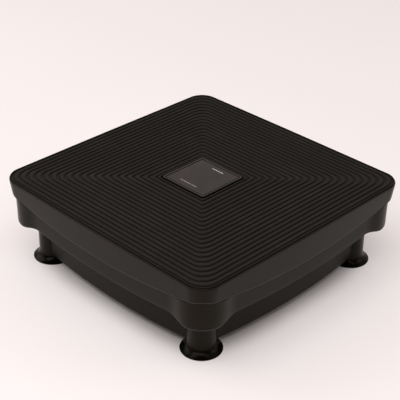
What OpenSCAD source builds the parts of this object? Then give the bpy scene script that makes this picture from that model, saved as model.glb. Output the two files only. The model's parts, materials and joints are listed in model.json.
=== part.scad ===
// Square vibration platform on four suction feet.
// Millimetres, +Z up, front towards -Y, origin on the floor under the middle of the platform.

/* [Overall] */
// Width of the platform, the same both ways
plate_w = 400; // [334:1:480]
// Height from the floor to the top of the mat
plate_h = 132; // [122:1:160]

/* [Mat] */
// Thickness of the rubber mat
mat_t = 5; // [4:0.5:7]
// Distance from groove to groove
groove_pitch = 7.84; // [6:0.01:12]
// Width of a groove
groove_w = 2.2; // [1.5:0.1:3.5]
// Depth of a groove
groove_d = 1.6; // [1:0.1:2.5]
// Width of the rib outside the last groove
groove_border = 2.1; // [1.5:0.1:5]
// Least distance from the display to the first groove
groove_margin = 5.5; // [4:0.1:12]
// Corner radius of a groove for each millimetre of its half width
groove_corner = 0.13; // [0.05:0.01:0.14]

/* [Display] */
// Width of the bezel, the same both ways
bezel_w = 80; // [70:1:110]
// Width of the bezel's visible frame
bezel_frame = 2.5; // [2:0.1:5]
// Height of the bezel above the mat
bezel_proud = 0.9; // [0.4:0.1:2]
// Corner radius of the bezel
bezel_r = 3; // [2:0.1:8]
// Rounding along the bezel's top edge
bezel_edge_r = 0.8; // [0.3:0.1:1.2]
// Thickness of the lens
lens_t = 1.8; // [1:0.1:3]
// Width of the window through the lid
window_w = 48; // [40:1:56]
// Width of the circuit board under the window
display_board_w = 56; // [52:1:60]
// Length, depth and height of the digit module
led_size = [40, 19, 5.5];

/* [Lid] */
// Corner radius of the lid
lid_r = 31; // [28:0.5:38]
// Thickness of the lid's side wall
lid_wall = 3; // [2.5:0.1:4]
// Thickness of the lid's top
lid_top_t = 3.5; // [3:0.1:5]
// Thickness of the lip round the mat
lip_t = 1.1; // [0.9:0.1:2]
// Width of the roll along the lip's outer edge
lip_edge_r = 0.8; // [0.4:0.1:0.9]
// Height of that roll
lip_roll_h = 4.6; // [1:0.1:6]
// How far the side wall leans in from top to rim
lid_draft = 1.2; // [0:0.1:1.4]
// Depth of the rim below the top at the middle of a side
rim_drop = 41; // [36:0.5:46]
// Radius of the shallow arc along the rim
rim_arc_r = 1160; // [900:10:1600]

/* [Skirt] */
// Distance of the skirt's side inside the lid's widest line
skirt_inset = 1.8; // [1.4:0.1:4]
// Corner radius of the skirt
skirt_r = 43; // [38:0.5:50]
// Corner radius of the skirt where it meets the rim
skirt_top_r = 33; // [31:0.5:38]
// Height over which the corner opens out to the rim
skirt_flare_h = 14; // [8:0.5:18]
// Thickness of the skirt's wall
skirt_t = 3; // [2.5:0.1:4]
// Rounding along the bottom edge
skirt_edge_r = 2.4; // [1:0.1:2.8]
// Depth of the bottom edge below the top at the middle of a side
skirt_drop = 71; // [66:0.5:73]
// Radius of the shallow arc along the bottom edge
skirt_arc_r = 1160; // [900:10:3000]
// Depth of the skirt's side behind its pillars
skirt_dent = 2.2; // [0:0.1:3]
// Length of the step from the side out to a pillar
dent_sweep = 15; // [8:1:24]
// Share of that depth that is left under the rim
dent_top = 0.6; // [0:0.05:0.7]
// Depth of the pillars below the top
pillar_drop = 73; // [69:0.5:75]
// Length of the sweep from the bottom edge down to a pillar
pillar_sweep = 31; // [20:1:45]
// Thickness of the floor inside a pillar
pillar_floor_t = 2.5; // [2:0.1:3.5]
// Height of the rim round that floor
pillar_wall_h = 5; // [3.5:0.1:5.5]
// Radius of the pillar's boss round its leg
pillar_boss_r = 29; // [27:0.5:32]
// Width of the flange that is screwed under the lid
skirt_flange_w = 10; // [9:0.5:14]
// Depth of that flange below the top
spigot_drop = 14; // [13:0.5:17]

/* [Deck and motor] */
// Distance of the deck plate's edge inside the lid's widest line
deck_inset = 22; // [18:0.5:30]
// Thickness of the steel deck plate
deck_t = 3; // [2.5:0.1:4]
// Corner radius of the deck plate
deck_r = 24; // [18:0.5:30]
// Diameter of the motor
motor_d = 84; // [70:1:88]
// Length of the motor's housing tube
motor_l = 100; // [90:1:130]
// Thickness of the housing tube
motor_wall = 2.6; // [2:0.1:4]
// Thickness of an end bell
bell_t = 12; // [11:0.5:18]
// Distance from the deck to the motor
saddle_h = 6; // [4:0.5:9]
// Width of a saddle and of its strap
strap_w = 12; // [10:0.5:16]
// Thickness of a strap
strap_t = 2; // [1.5:0.1:3]
// Length of a strap's foot
strap_foot = 16; // [14:0.5:22]
// Diameter of the shaft
shaft_d = 12; // [10:0.5:16]
// Outer diameter of a bearing
bearing_d = 28; // [24:0.5:32]
// Width of a bearing
bearing_w = 8; // [7:0.5:10]
// Length of the rotor and stator cores
core_l = 56; // [50:1:64]
// Diameter of the rotor core
rotor_d = 60; // [48:1:62]
// Length of a winding's end turns
winding_l = 12; // [8:0.5:14]
// Share of the room between rotor and housing that the end turns leave free
winding_clear = 0.235; // [0.1:0.005:0.4]
// Radius of an eccentric weight
weight_r = 34; // [26:0.5:38]
// Thickness of an eccentric weight
weight_t = 22; // [14:0.5:28]
// Diameter of a weight's hub
weight_hub_d = 27; // [24:0.5:32]
// Distance from an end bell to a weight
weight_gap = 6; // [4:0.5:10]

/* [Base] */
// Distance of the pan's side inside the lid's widest line, at the middle of a side
pan_inset = 24; // [20:0.5:34]
// Radius of the shallow outward bow of the pan's sides
pan_bow_r = 980; // [700:10:1600]
// Depth of the pan's underside below the top
pan_drop = 121; // [112:0.5:122]
// Thickness of the pan's walls
pan_t = 3; // [2.5:0.1:4]
// Rounding along the pan's bottom edge
pan_edge_r = 5; // [2:0.5:6]
// Radius of the pan's screw bosses
pan_boss_r = 6; // [5.5:0.1:8]
// Depth of the chassis ring's underside below the top
flange_drop = 61; // [58:0.5:61]
// Room between the chassis ring and the skirt
flange_gap = 4; // [3:0.5:8]
// Distance of the chassis ring's opening inside the pan's line
chassis_w = 16; // [15:0.5:22]
// Height of the rim round that opening
chassis_rim_h = 8; // [4:0.5:12]
// Room between a pillar's boss and the pan's cut-away corner
pan_gap = 6; // [4:0.5:10]
// Length of a vent slot in the pan's floor
vent_l = 44; // [24:1:60]
// Width of a vent slot
vent_w = 4; // [3:0.1:5]
// Number of vent slots in a row
vent_count = 7; // [3:1:9]

/* [Feet and isolators] */
// Distance of a leg's axis inside the lid's widest line
leg_inset = 47.5; // [46:0.5:56]
// Diameter of a leg
leg_d = 38.8; // [34:0.2:44]
// Thickness of a leg's wall
leg_wall = 4.4; // [3:0.1:6]
// Thickness of the web at the top of a leg
leg_web_t = 11; // [8:0.5:16]
// Height of the collar near the top of a leg
collar_h = 2.2; // [1:0.1:3]
// How far the collar stands out
collar_out = 1; // [0.4:0.1:1.4]
// Room between a leg and the hole in the pillar's floor
leg_gap = 2.2; // [1.8:0.1:4]
// Diameter of a suction cup
cup_d = 57; // [50:0.5:66]
// Height of a suction cup
cup_h = 8.4; // [7:0.1:12]
// Thickness of a cup's lip where it meets the floor
cup_lip_t = 1.3; // [1:0.1:2]
// Width of a cup's ring on the floor
cup_ring_w = 3.5; // [2.5:0.1:5]
// Depth of the hollow under a cup
cup_hollow = 4.2; // [2:0.1:5]
// Length of the plug that holds a cup in its leg
cup_plug_l = 13; // [8:0.5:18]
// Diameter of an isolator's rubber body
isolator_d = 34; // [28:0.5:38]
// Depth of the waist round that body
isolator_waist = 2.4; // [1:0.1:4]
// Height of the boss under an isolator
isolator_boss_h = 12; // [8:0.5:16]
// Thickness of an isolator's end plates
isolator_plate_t = 2.8; // [2.5:0.1:4]

/* [Power inlet and switch] */
// Middle of the recessed bay on the rear wall, along X
bay_x = -60; // [-70:1:-56]
// Width and height of the bay
bay_size = [92, 34];
// Depth of the bay's floor below the wall's middle
bay_depth = 10; // [9:0.5:14]
// Thickness of the bay's floor
bay_t = 4; // [3:0.5:6]
// Thickness of the bay's walls
bay_w = 2.5; // [2:0.1:4]
// Height of the bay's middle above the pan's underside
bay_rise = 34; // [30:0.5:36]
// Distance of the inlet from the bay's middle
inlet_offset = 18; // [17:0.5:19]
// Width and height of the inlet's body
inlet_size = [27, 19.6];
// Width and height of the inlet's flange
inlet_flange = [50, 24];
// Thickness of the inlet's flange
inlet_flange_t = 2.5; // [2:0.1:4]
// Thickness of the inlet's wall round its mouth
inlet_wall = 1.6; // [1.2:0.1:2]
// Length of the inlet's body behind the flange
inlet_l = 18; // [16:0.5:22]
// Thickness of the inlet's back
inlet_back_t = 3; // [2:0.1:4]
// Length of a pin
pin_l = 10.5; // [8:0.5:11]
// Width and height of a pin
pin_size = [2, 4];
// Distance of the outer pins from the middle one
pin_spacing = 7; // [6:0.1:8]
// Distance of the inlet's screws from its middle
inlet_screw_x = 20; // [18:0.5:22]
// Distance of the switch from the bay's middle
switch_offset = -28; // [-32:0.5:-26]
// Width and height of the switch's opening
switch_mouth = [11.2, 18.8];
// Thickness of the switch's walls
switch_wall = 1.4; // [1.2:0.1:2]
// Width of the switch's frame round its mouth
switch_frame_w = 2.6; // [2:0.1:3.5]
// Thickness of the switch's frame
switch_frame_t = 2; // [1.5:0.1:3]
// Length of the switch's body behind the frame
switch_l = 18; // [14:0.5:22]
// Angle through which the rocker tips, end to end
rocker_throw = 20; // [12:1:24]
// Height of the rocker's ends in front of its pivot
rocker_end = 5.4; // [4.5:0.1:6]
// Height of the rocker's middle in front of its pivot
rocker_dip = 4; // [3:0.1:4.5]
// Radius of the rocker's pivot pins
rocker_pin_r = 1.2; // [0.8:0.1:1.6]

/* [Control board] */
// Middle of the control board
board_at = [62, 108];
// Length and depth of the control board
board_size = [96, 62];
// Thickness of the control board
board_t = 1.6; // [1:0.1:2.4]
// Height of the posts under the control board
post_h = 8; // [6:0.5:12]
// Radius of a post
post_r = 3.6; // [3:0.1:5]

/* [Fits] */
// Room between fixed pieces that slip together
fit_gap = 0.3; // [0.2:0.05:0.5]
// Room between a round piece and its seat
seat_gap = 0.1; // [0.05:0.05:0.2]
// Running room round the shaft and the rocker's pins
run_gap = 0.05; // [0.02:0.01:0.09]
// Air gap between the rotor and the stator
air_gap = 0.8; // [0.5:0.1:1.5]
// Travel of the platform up and down from rest
bounce = 2.5; // [1:0.1:2.6]

/* [Hidden] */
$fn = 96;

// Directions of the four corners: front left, front right, back left, back right
CORNERS = [[-1, -1], [1, -1], [-1, 1], [1, 1]];
// Overlap that lets a cut pass clean through a face
eps = 0.5;

plastic = "#26272a";
mat_black = "#1c1c1e";
cup_black = "#101012";
steel = "#9aa0a6";
dark_steel = "#5c6166";
aluminium = "#b9bdc2";
copper = "#b5652d";
board_green = "#1f5b3a";

// Shank and head radii of the fasteners
deck_screw_r = 2;
deck_head_r = 4;
skirt_screw_r = 1.75;
skirt_head_r = 3.5;
pan_screw_r = 1.75;
pan_head_r = 3.5;
pan_head_h = 2.2;
pan_bore_r = 3.8;
strap_bolt_r = 3;
strap_head_r = 5;
inlet_screw_r = 1.5;
inlet_head_r = 2.8;
board_screw_r = 1.25;
board_head_r = 2.6;
set_screw_r = 2.5;
bolt_r = 4;
bolt_head_r = 7.5;

half = plate_w / 2;
lid_inner = half - lid_wall;
lid_inner_r = lid_r - lid_wall;
mat_half = half - lip_t - fit_gap;
mat_r = lid_r - lip_t - fit_gap;
mat_z = plate_h - mat_t;
lid_under_z = mat_z - lid_top_t;
deck_z = lid_under_z - deck_t;
deck_half = half - deck_inset;
rim_mid_z = plate_h - rim_drop;

bezel_half = bezel_w / 2;
lens_half = bezel_half - bezel_frame;
bezel_top_z = plate_h + bezel_proud;
lens_z = bezel_top_z - lens_t - bezel_edge_r / 2;
window_half = window_w / 2;
deck_window = display_board_w / 2 + 3;

groove_first = mat_half - groove_border - groove_w / 2;
groove_count = floor((groove_first - bezel_half - groove_margin) / groove_pitch) + 1;

skirt_half = half - skirt_inset;
skirt_top_half = half - lid_draft - fit_gap;
skirt_inner = skirt_half - skirt_t;
skirt_inner_r = skirt_r - skirt_t;
spigot_half = lid_inner - fit_gap;
spigot_r = lid_inner_r - fit_gap;
spigot_z = plate_h - spigot_drop;
skirt_flange_in = spigot_half - skirt_flange_w;
skirt_flange_r = spigot_r - skirt_flange_w / 2;
pillar_z = plate_h - pillar_drop;
pillar_c = skirt_half - skirt_r;
skirt_screw_line = spigot_half - skirt_t - skirt_head_r - fit_gap;

leg_c = half - leg_inset;
leg_r = leg_d / 2;
flange_z = plate_h - flange_drop;
flange_half = skirt_inner - skirt_dent - flange_gap;
flange_r = skirt_inner_r - flange_gap;
pan_z = plate_h - pan_drop;
pan_half = half - pan_inset;
pan_floor_z = pan_z + pan_t;
pan_top_z = flange_z + pan_t;
collar_top_z = pillar_z - bounce - 0.5;
pan_shelf_z = collar_top_z - collar_h - fit_gap;
pan_screw_z = flange_z - 9;
pan_screw_side = pan_half - pan_t - pan_boss_r + 0.5;
pan_screw_corner = leg_c - (pillar_boss_r + pan_gap + pan_boss_r + 1) / sqrt(2);

isolator_seat_z = pan_top_z + isolator_boss_h;
rubber_z = isolator_seat_z + isolator_plate_t;
rubber_top_z = deck_z - isolator_plate_t;
rubber_h = rubber_top_z - rubber_z;
rubber_r = isolator_d / 2;
plate_r = rubber_r + 2;

bolt_hole_r = bolt_r + seat_gap;
bolt_head_z = flange_z - leg_web_t;
countersink_r = bolt_r + deck_t;

motor_r = motor_d / 2;
motor_z = deck_z - saddle_h - motor_r;
housing_r = motor_r - motor_wall;
bell_x = motor_l / 2;
weight_x = bell_x + bell_t + weight_gap;
shaft_r = shaft_d / 2;
shaft_l = 2 * (weight_x + weight_t + 4);
rotor_r = rotor_d / 2;
strap_x = bell_x - strap_w / 2;
strap_out = motor_r + seat_gap + strap_t;
strap_bolt_y = strap_out + strap_foot / 2;

bay_y = pan_half - bay_depth;
bay_z = pan_z + bay_rise;
inlet_at = [bay_x + inlet_offset, bay_y, bay_z];
inlet_mouth = [inlet_size.x - 2 * inlet_wall, inlet_size.y - 2 * inlet_wall];
inlet_floor_y = bay_y - inlet_l + inlet_back_t;
switch_at = [bay_x + switch_offset, bay_y, bay_z];
switch_body = [switch_mouth.x + 2 * switch_wall, switch_mouth.y + 2 * switch_wall];
rocker_at = [switch_at.x, bay_y - 1, bay_z];
rocker_w = switch_mouth.x - 2 * fit_gap;
rocker_r = switch_mouth.y / 2 - fit_gap;
board_z = pan_floor_z + post_h;
board_top_z = board_z + board_t;
board_post = [board_size.x / 2 - 5, board_size.y / 2 - 5];

// Rounded square, from its half width and corner radius
module rounded_square(a, r) {
    square([2 * a, 2 * (a - r)], center = true);
    square([2 * (a - r), 2 * a], center = true);
    for (c = CORNERS) translate((a - r) * c) circle(r);
}

module slab(a, r, h) {
    linear_extrude(h) rounded_square(a, r);
}

// Sweeps a profile round a rounded square; the profile's x is the distance outside it
module sweep_round(a, r) {
    for (q = [0:3]) rotate(90 * q) {
        translate([a, a - r, 0]) rotate([90, 0, 0]) linear_extrude(2 * (a - r)) children();
        translate([a - r, a - r, 0]) rotate_extrude(angle = 90) translate([r, 0]) children();
    }
}

// Copies at the four legs, turned so that +X and +Y point outwards
module at_legs() {
    for (q = [0:3]) rotate(90 * q) translate([leg_c, leg_c, 0]) children();
}

// Copies along the four sides, at a distance from the middle and to both sides of it
module along_sides(line, off) {
    for (q = [0:3], s = [-1, 1]) rotate(90 * q) translate([line, s * off, 0]) children();
}

// Copies on the motor's axis, with their own Z along +X
module on_axis(x = 0) {
    translate([x, 0, motor_z]) rotate([0, 90, 0]) children();
}

// Screw that points up, with its head below z = 0
module screw_up(r, l, head_r, head_h) {
    cylinder(r = r, h = l);
    difference() {
        translate([0, 0, -head_h]) cylinder(r = head_r, h = head_h);
        translate([0, 0, -head_h - eps]) cylinder(r = head_r * 0.55, h = head_h * 0.55 + eps, $fn = 6);
    }
}

// Height of the lid's rim at a distance along a side
function rim_at(s) = rim_mid_z + rim_arc_r - sqrt(rim_arc_r * rim_arc_r - s * s);

// Height of the skirt's bottom edge at a distance along a side
function edge_arc(s) = plate_h - skirt_drop + skirt_arc_r - sqrt(skirt_arc_r * skirt_arc_r - s * s);
function ease(t) = t <= 0 ? 0 : t >= 1 ? 1 : t * t * (3 - 2 * t);
function pillar_share(s) = ease((s - pillar_c + 0.85 * pillar_sweep) / pillar_sweep);
function edge_at(s) = edge_arc(s) + (pillar_z - edge_arc(s)) * pillar_share(s);

// Depth of the skirt's side at a distance along it
function dent_at(s) = skirt_dent * (1 - ease((abs(s) - pillar_c + dent_sweep) / dent_sweep));

// Points round a rounded square, closer together towards the corners
SIDE_STEPS = 24;
ARC_STEPS = 8;
function side_points(a, r, dent) =
    [for (j = [0:SIDE_STEPS])
        let (s = (a - r) * sin(90 * (2 * j / SIDE_STEPS - 1)))
        [a - dent * dent_at(s), s]];
function arc_points(a, r) =
    [for (i = [1:ARC_STEPS - 1]) [a - r, a - r] + r * [cos(90 * i / ARC_STEPS), sin(90 * i / ARC_STEPS)]];
function turned(p, q) = q == 0 ? p : turned([-p.y, p.x], q - 1);
function loop_points(a, r, dent = 0) =
    [for (q = [0:3]) for (p = concat(side_points(a, r, dent), arc_points(a, r))) turned(p, q)];
function along(p) = min(abs(p.x), abs(p.y));

// Rings for a loft: level, following the rim, or following the bottom edge
function level_ring(a, r, z) = [for (p = loop_points(a, r)) [p.x, p.y, z]];
function rim_ring(a, r, dz, dent = 0) =
    [for (p = loop_points(a, r, dent)) [p.x, p.y, rim_at(along(p)) + dz]];
function edge_ring(a, r, dz) = [for (p = loop_points(a, r, 1)) [p.x, p.y, edge_at(along(p)) + dz]];

// Closed shell through rings that lead up the outside and down the inside
module loft(rings) {
    n = len(rings[0]);
    m = len(rings);
    polyhedron(
        points = [for (ring = rings) each ring],
        faces = [
            for (i = [0:m - 1]) for (j = [0:n - 1])
                let (
                    a = i * n + j,
                    b = i * n + (j + 1) % n,
                    c = ((i + 1) % m) * n + (j + 1) % n,
                    d = ((i + 1) % m) * n + j
                )
                each [[a, c, b], [a, d, c]]
        ]
    );
}

module top_mat() color(mat_black) {
    difference() {
        translate([0, 0, mat_z]) slab(mat_half, mat_r, mat_t);
        for (k = [0:groove_count - 1]) groove(groove_first - k * groove_pitch);
        translate([0, 0, mat_z - eps])
            slab(bezel_half + fit_gap, bezel_r + fit_gap, mat_t + 2 * eps);
    }
}

// One square groove in the mat
module groove(a) {
    outer = a + groove_w / 2;
    inner = a - groove_w / 2;
    translate([0, 0, plate_h - groove_d]) linear_extrude(groove_d + eps) difference() {
        rounded_square(outer, outer * groove_corner);
        rounded_square(inner, inner * groove_corner);
    }
}

module display_bezel() color(plastic) {
    h = bezel_top_z - mat_z;
    difference() {
        translate([0, 0, mat_z]) union() {
            slab(bezel_half - bezel_edge_r, bezel_r - bezel_edge_r, h);
            sweep_round(bezel_half, bezel_r) bezel_profile(h);
        }
        translate([0, 0, lens_z]) slab(lens_half, bezel_r - 1, h);
        translate([0, 0, mat_z - eps]) slab(window_half, bezel_r - 1, h);
    }
}

// Outer edge of the bezel, rounded at the top
module bezel_profile(h) {
    translate([-bezel_r, 0]) square([bezel_r, h - bezel_edge_r]);
    translate([-bezel_r, 0]) square([bezel_r - bezel_edge_r, h]);
    translate([-bezel_edge_r, h - bezel_edge_r]) circle(bezel_edge_r);
}

module display_lens() color("#3a3c40") {
    translate([0, 0, lens_z]) slab(lens_half - seat_gap, bezel_r - 1 - seat_gap, lens_t);
}

module led_module() color("#18191b") {
    digit_w = led_size.x / 2;
    translate([0, 0, lid_under_z]) difference() {
        translate([-led_size.x / 2, -led_size.y / 2, 0]) cube(led_size);
        for (s = [-1, 1]) translate([s * digit_w / 2, 0, led_size.z - 0.6]) digit_slots(digit_w);
    }
}

// Seven bar-shaped windows of one digit
module digit_slots(w) {
    bar = w * 0.4;
    tall = led_size.y * 0.32;
    for (y = [-1, 0, 1]) translate([-bar / 2, y * (tall + 1.6) - 0.6, 0]) cube([bar, 1.2, 1]);
    for (x = [-1, 1], y = [-1, 1])
        translate([x * (bar / 2 + 1.2) - 0.6, y * (tall + 1.6) / 2 - tall / 2, 0]) cube([1.2, tall, 1]);
}

module display_board() color(board_green) {
    w = display_board_w;
    translate([-w / 2, -w / 2, lid_under_z - board_t]) cube([w, w, board_t]);
}

module top_lid() color(plastic) {
    difference() {
        union() {
            translate([0, 0, lid_under_z]) slab(lid_inner + eps, lid_inner_r + eps, lid_top_t);
            intersection() {
                sweep_round(half, lid_r) lid_profile();
                union() {
                    rim_drum();
                    rotate(90) rim_drum();
                }
            }
            along_sides(skirt_screw_line, skirt_screw_off()) translate([0, 0, spigot_z])
                cylinder(r = 4, h = lid_under_z - spigot_z + eps);
        }
        translate([0, 0, lid_under_z - eps]) slab(window_half, bezel_r - 1, lid_top_t + 2 * eps);
        along_sides(deck_screw_line(), deck_screw_off()) translate([0, 0, lid_under_z - eps])
            cylinder(r = deck_screw_r + seat_gap, h = lid_top_t);
        along_sides(skirt_screw_line, skirt_screw_off()) translate([0, 0, spigot_z - eps])
            cylinder(r = skirt_screw_r + seat_gap, h = lid_under_z - spigot_z + 1.5);
    }
}

// Side wall of the lid, with the rolled lip that holds the mat
module lid_profile() {
    low = rim_mid_z - eps;
    steps = 6;
    roll = [for (i = [0:steps]) let (a = 90 * i / steps)
        [lip_edge_r * (cos(a) - 1), plate_h + lip_roll_h * (sin(a) - 1)]];
    polygon(concat(
        [[-lid_draft, low]],
        roll,
        [[-lip_t, plate_h], [-lip_t, mat_z], [-lid_wall, mat_z], [-lid_wall, low]]
    ));
}

// Round drum across the platform whose underside gives the rim its arc
module rim_drum() {
    translate([0, 0, rim_mid_z + rim_arc_r]) rotate([90, 0, 0])
        cylinder(r = rim_arc_r, h = plate_w + 2, center = true);
}

function skirt_screw_off() = half / 2;
function deck_screw_line() = deck_half - 12;
function deck_screw_off() = half * 0.36;

module deck_plate() color(steel) {
    difference() {
        translate([0, 0, deck_z]) slab(deck_half, deck_r, deck_t);
        translate([0, 0, deck_z - eps]) slab(deck_window, 4, deck_t + 2 * eps);
        along_sides(deck_screw_line(), deck_screw_off()) translate([0, 0, deck_z - eps])
            cylinder(r = deck_screw_r + seat_gap, h = deck_t + 2 * eps);
        at_legs() translate([0, 0, deck_z - eps]) cylinder(r = bolt_hole_r, h = deck_t + 2 * eps);
        at_legs() translate([0, 0, deck_z])
            cylinder(r1 = bolt_hole_r, r2 = countersink_r + seat_gap, h = deck_t + 0.001);
        strap_bolt_places() translate([0, 0, deck_z - eps])
            cylinder(r = strap_bolt_r + seat_gap, h = deck_t + 2 * eps);
    }
}

module strap_bolt_places() {
    for (sx = [-1, 1], sy = [-1, 1]) translate([sx * strap_x, sy * strap_bolt_y, 0]) children();
}

module deck_screws() color(dark_steel) {
    along_sides(deck_screw_line(), deck_screw_off()) translate([0, 0, deck_z])
        screw_up(deck_screw_r, deck_t + lid_top_t - 1, deck_head_r, 2.4);
}

module skirt() color(plastic) {
    difference() {
        union() {
            loft(skirt_rings());
            pillar_floors();
        }
        at_legs() translate([0, 0, pillar_z - eps])
            cylinder(r = leg_r + collar_out + leg_gap, h = pillar_floor_t + 2 * eps);
        along_sides(skirt_screw_line, skirt_screw_off()) translate([0, 0, spigot_z - skirt_t - eps])
            cylinder(r = skirt_screw_r + seat_gap, h = skirt_t + 2 * eps);
    }
}

function flare_ring(t) =
    rim_ring(
        skirt_half + (skirt_top_half - skirt_half) * ease(t),
        skirt_r + (skirt_top_r - skirt_r) * ease(t),
        -fit_gap - skirt_flare_h * (1 - t),
        1 - (1 - dent_top) * ease(t)
    );

function skirt_rings() = concat(
    [
        edge_ring(skirt_half - skirt_edge_r, skirt_r - skirt_edge_r, 0),
        edge_ring(skirt_half - 0.3 * skirt_edge_r, skirt_r - 0.3 * skirt_edge_r, 0.3 * skirt_edge_r),
        edge_ring(skirt_half, skirt_r, skirt_edge_r)
    ],
    [for (t = [0, 0.33, 0.67, 1]) flare_ring(t)],
    [
        rim_ring(spigot_half, spigot_r, -fit_gap),
        level_ring(spigot_half, spigot_r, spigot_z),
        level_ring(skirt_flange_in, skirt_flange_r, spigot_z),
        level_ring(skirt_flange_in, skirt_flange_r, spigot_z - skirt_t),
        level_ring(spigot_half - skirt_t, spigot_r, spigot_z - skirt_t),
        rim_ring(skirt_inner, skirt_inner_r, -skirt_flare_h, 1),
        edge_ring(skirt_inner, skirt_inner_r, 0)
    ]
);

// Plan of the bosses inside the pillars: round the leg and out to the skirt's corner
module boss_plan(grow) {
    from = pillar_c - leg_c + 1 - grow;
    at_legs() {
        circle(pillar_boss_r + grow);
        translate([from, from]) square(leg_inset);
    }
}

// Floors of the four pillars, with a low rim round each
module pillar_floors() {
    inset = skirt_t / 2;
    translate([0, 0, pillar_z]) difference() {
        linear_extrude(pillar_wall_h) intersection() {
            rounded_square(skirt_half - inset, skirt_r - inset);
            boss_plan(0);
        }
        translate([0, 0, pillar_floor_t]) linear_extrude(pillar_wall_h) boss_plan(-skirt_t);
    }
}

module skirt_screws() color(dark_steel) {
    along_sides(skirt_screw_line, skirt_screw_off()) translate([0, 0, spigot_z - skirt_t])
        screw_up(skirt_screw_r, skirt_t + 5, skirt_head_r, 2.2);
}

// Upper end plates of the isolators
module isolator_caps() color(steel) {
    at_legs() translate([0, 0, rubber_top_z]) difference() {
        cylinder(r = plate_r, h = isolator_plate_t);
        translate([0, 0, -eps]) cylinder(r = bolt_hole_r, h = isolator_plate_t + 2 * eps);
    }
}

// Countersunk bolts from the deck into the upper end plates
module isolator_bolts() color(dark_steel) {
    at_legs() difference() {
        union() {
            translate([0, 0, rubber_top_z + 0.2]) cylinder(r = bolt_r, h = deck_z - rubber_top_z);
            translate([0, 0, deck_z]) cylinder(r1 = bolt_r, r2 = countersink_r, h = deck_t);
        }
        translate([0, 0, lid_under_z - 1.6]) cylinder(r = 2.6, h = 1.6 + eps, $fn = 6);
    }
}

module motor_housing() color("#46494d") {
    on_axis(-bell_x) difference() {
        cylinder(r = motor_r, h = motor_l);
        translate([0, 0, -eps]) cylinder(r = housing_r, h = motor_l + 2 * eps);
    }
}

// End bell with its bearing seat, drawn on the +X end
module end_bell() {
    on_axis(bell_x) difference() {
        union() {
            cylinder(r = motor_r, h = bell_t / 2);
            cylinder(r = motor_r - 8, h = bell_t * 0.7);
            cylinder(r = bearing_d / 2 + 4, h = bell_t);
            translate([0, 0, -3]) cylinder(r = housing_r - seat_gap, h = 3);
        }
        translate([0, 0, -3 - eps]) cylinder(r = bearing_d / 2 + seat_gap, h = bearing_w + 3 + eps);
        cylinder(r = shaft_r + 1, h = bell_t + eps);
        for (k = [0:5]) rotate(60 * k) translate([motor_r - 13, 0, -4]) cylinder(r = 3.4, h = bell_t + 8);
    }
}

module motor_end_bell_right() color(aluminium) {
    end_bell();
}

module motor_end_bell_left() color(aluminium) {
    mirror([1, 0, 0]) end_bell();
}

module stator_core() color(dark_steel) {
    on_axis(-core_l / 2) difference() {
        cylinder(r = housing_r - seat_gap, h = core_l);
        translate([0, 0, -eps]) cylinder(r = rotor_r + air_gap, h = core_l + 2 * eps);
    }
}

// Rounded end turns at both ends of the stator
module stator_windings() color(copper) {
    room = housing_r - seat_gap - rotor_r - air_gap;
    middle = rotor_r + air_gap + room / 2;
    end_r = room / 2 * (1 - winding_clear);
    for (m = [0, 1]) mirror([m, 0, 0]) on_axis(core_l / 2) rotate_extrude() translate([middle, 0]) {
        translate([-end_r, 0]) square([2 * end_r, winding_l - end_r]);
        translate([0, winding_l - end_r]) circle(end_r);
    }
}

module motor_bearings() color(steel) {
    for (m = [0, 1]) mirror([m, 0, 0]) on_axis(bell_x) difference() {
        cylinder(r = bearing_d / 2, h = bearing_w);
        translate([0, 0, -eps]) cylinder(r = shaft_r + run_gap, h = bearing_w + 2 * eps);
        for (z = [-eps, bearing_w - 0.6]) translate([0, 0, z]) difference() {
            cylinder(r = bearing_d / 2 - 2.5, h = 0.6 + eps);
            translate([0, 0, -eps]) cylinder(r = shaft_r + 2.5, h = 2);
        }
    }
}

// Blocks between the deck and the motor
module motor_saddles() color(aluminium) {
    for (s = [-1, 1]) difference() {
        translate([s * strap_x - strap_w / 2, -motor_r * 0.72, motor_z])
            cube([strap_w, motor_r * 1.44, deck_z - motor_z]);
        on_axis(-motor_l) cylinder(r = motor_r + seat_gap, h = 2 * motor_l);
    }
}

// Steel bands under the motor, with feet on the deck
module motor_straps() color(steel) {
    for (s = [-1, 1]) difference() {
        translate([s * strap_x - strap_w / 2, 0, motor_z]) rotate([90, 0, 90]) linear_extrude(strap_w)
            strap_outline();
        translate([s * strap_x, 0, deck_z - strap_t - eps])
            for (y = [-1, 1]) translate([0, y * strap_bolt_y, 0])
                cylinder(r = strap_bolt_r + seat_gap, h = strap_t + 2 * eps);
    }
}

module strap_outline() {
    top = deck_z - motor_z;
    inner = motor_r + seat_gap;
    difference() {
        union() {
            circle(strap_out);
            translate([-strap_out, 0]) square([2 * strap_out, top]);
            translate([-strap_out - strap_foot, top - strap_t])
                square([2 * (strap_out + strap_foot), strap_t]);
        }
        circle(inner);
        translate([-inner, 0]) square([2 * inner, top + eps]);
    }
}

module strap_bolts() color(dark_steel) {
    strap_bolt_places() translate([0, 0, deck_z - strap_t])
        screw_up(strap_bolt_r, strap_t + deck_t - 0.2, strap_head_r, 4);
}

module rotor_shaft() color(steel) {
    on_axis(-shaft_l / 2) {
        cylinder(r = shaft_r, h = shaft_l);
    }
}

module rotor_core() color(dark_steel) {
    on_axis(-core_l / 2) difference() {
        cylinder(r = rotor_r, h = core_l);
        translate([0, 0, -eps]) cylinder(r = shaft_r + run_gap, h = core_l + 2 * eps);
        for (k = [0:11]) rotate(30 * k) translate([rotor_r - 5, 0, -eps])
            cylinder(r = 1.6, h = core_l + 2 * eps);
    }
}

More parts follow.
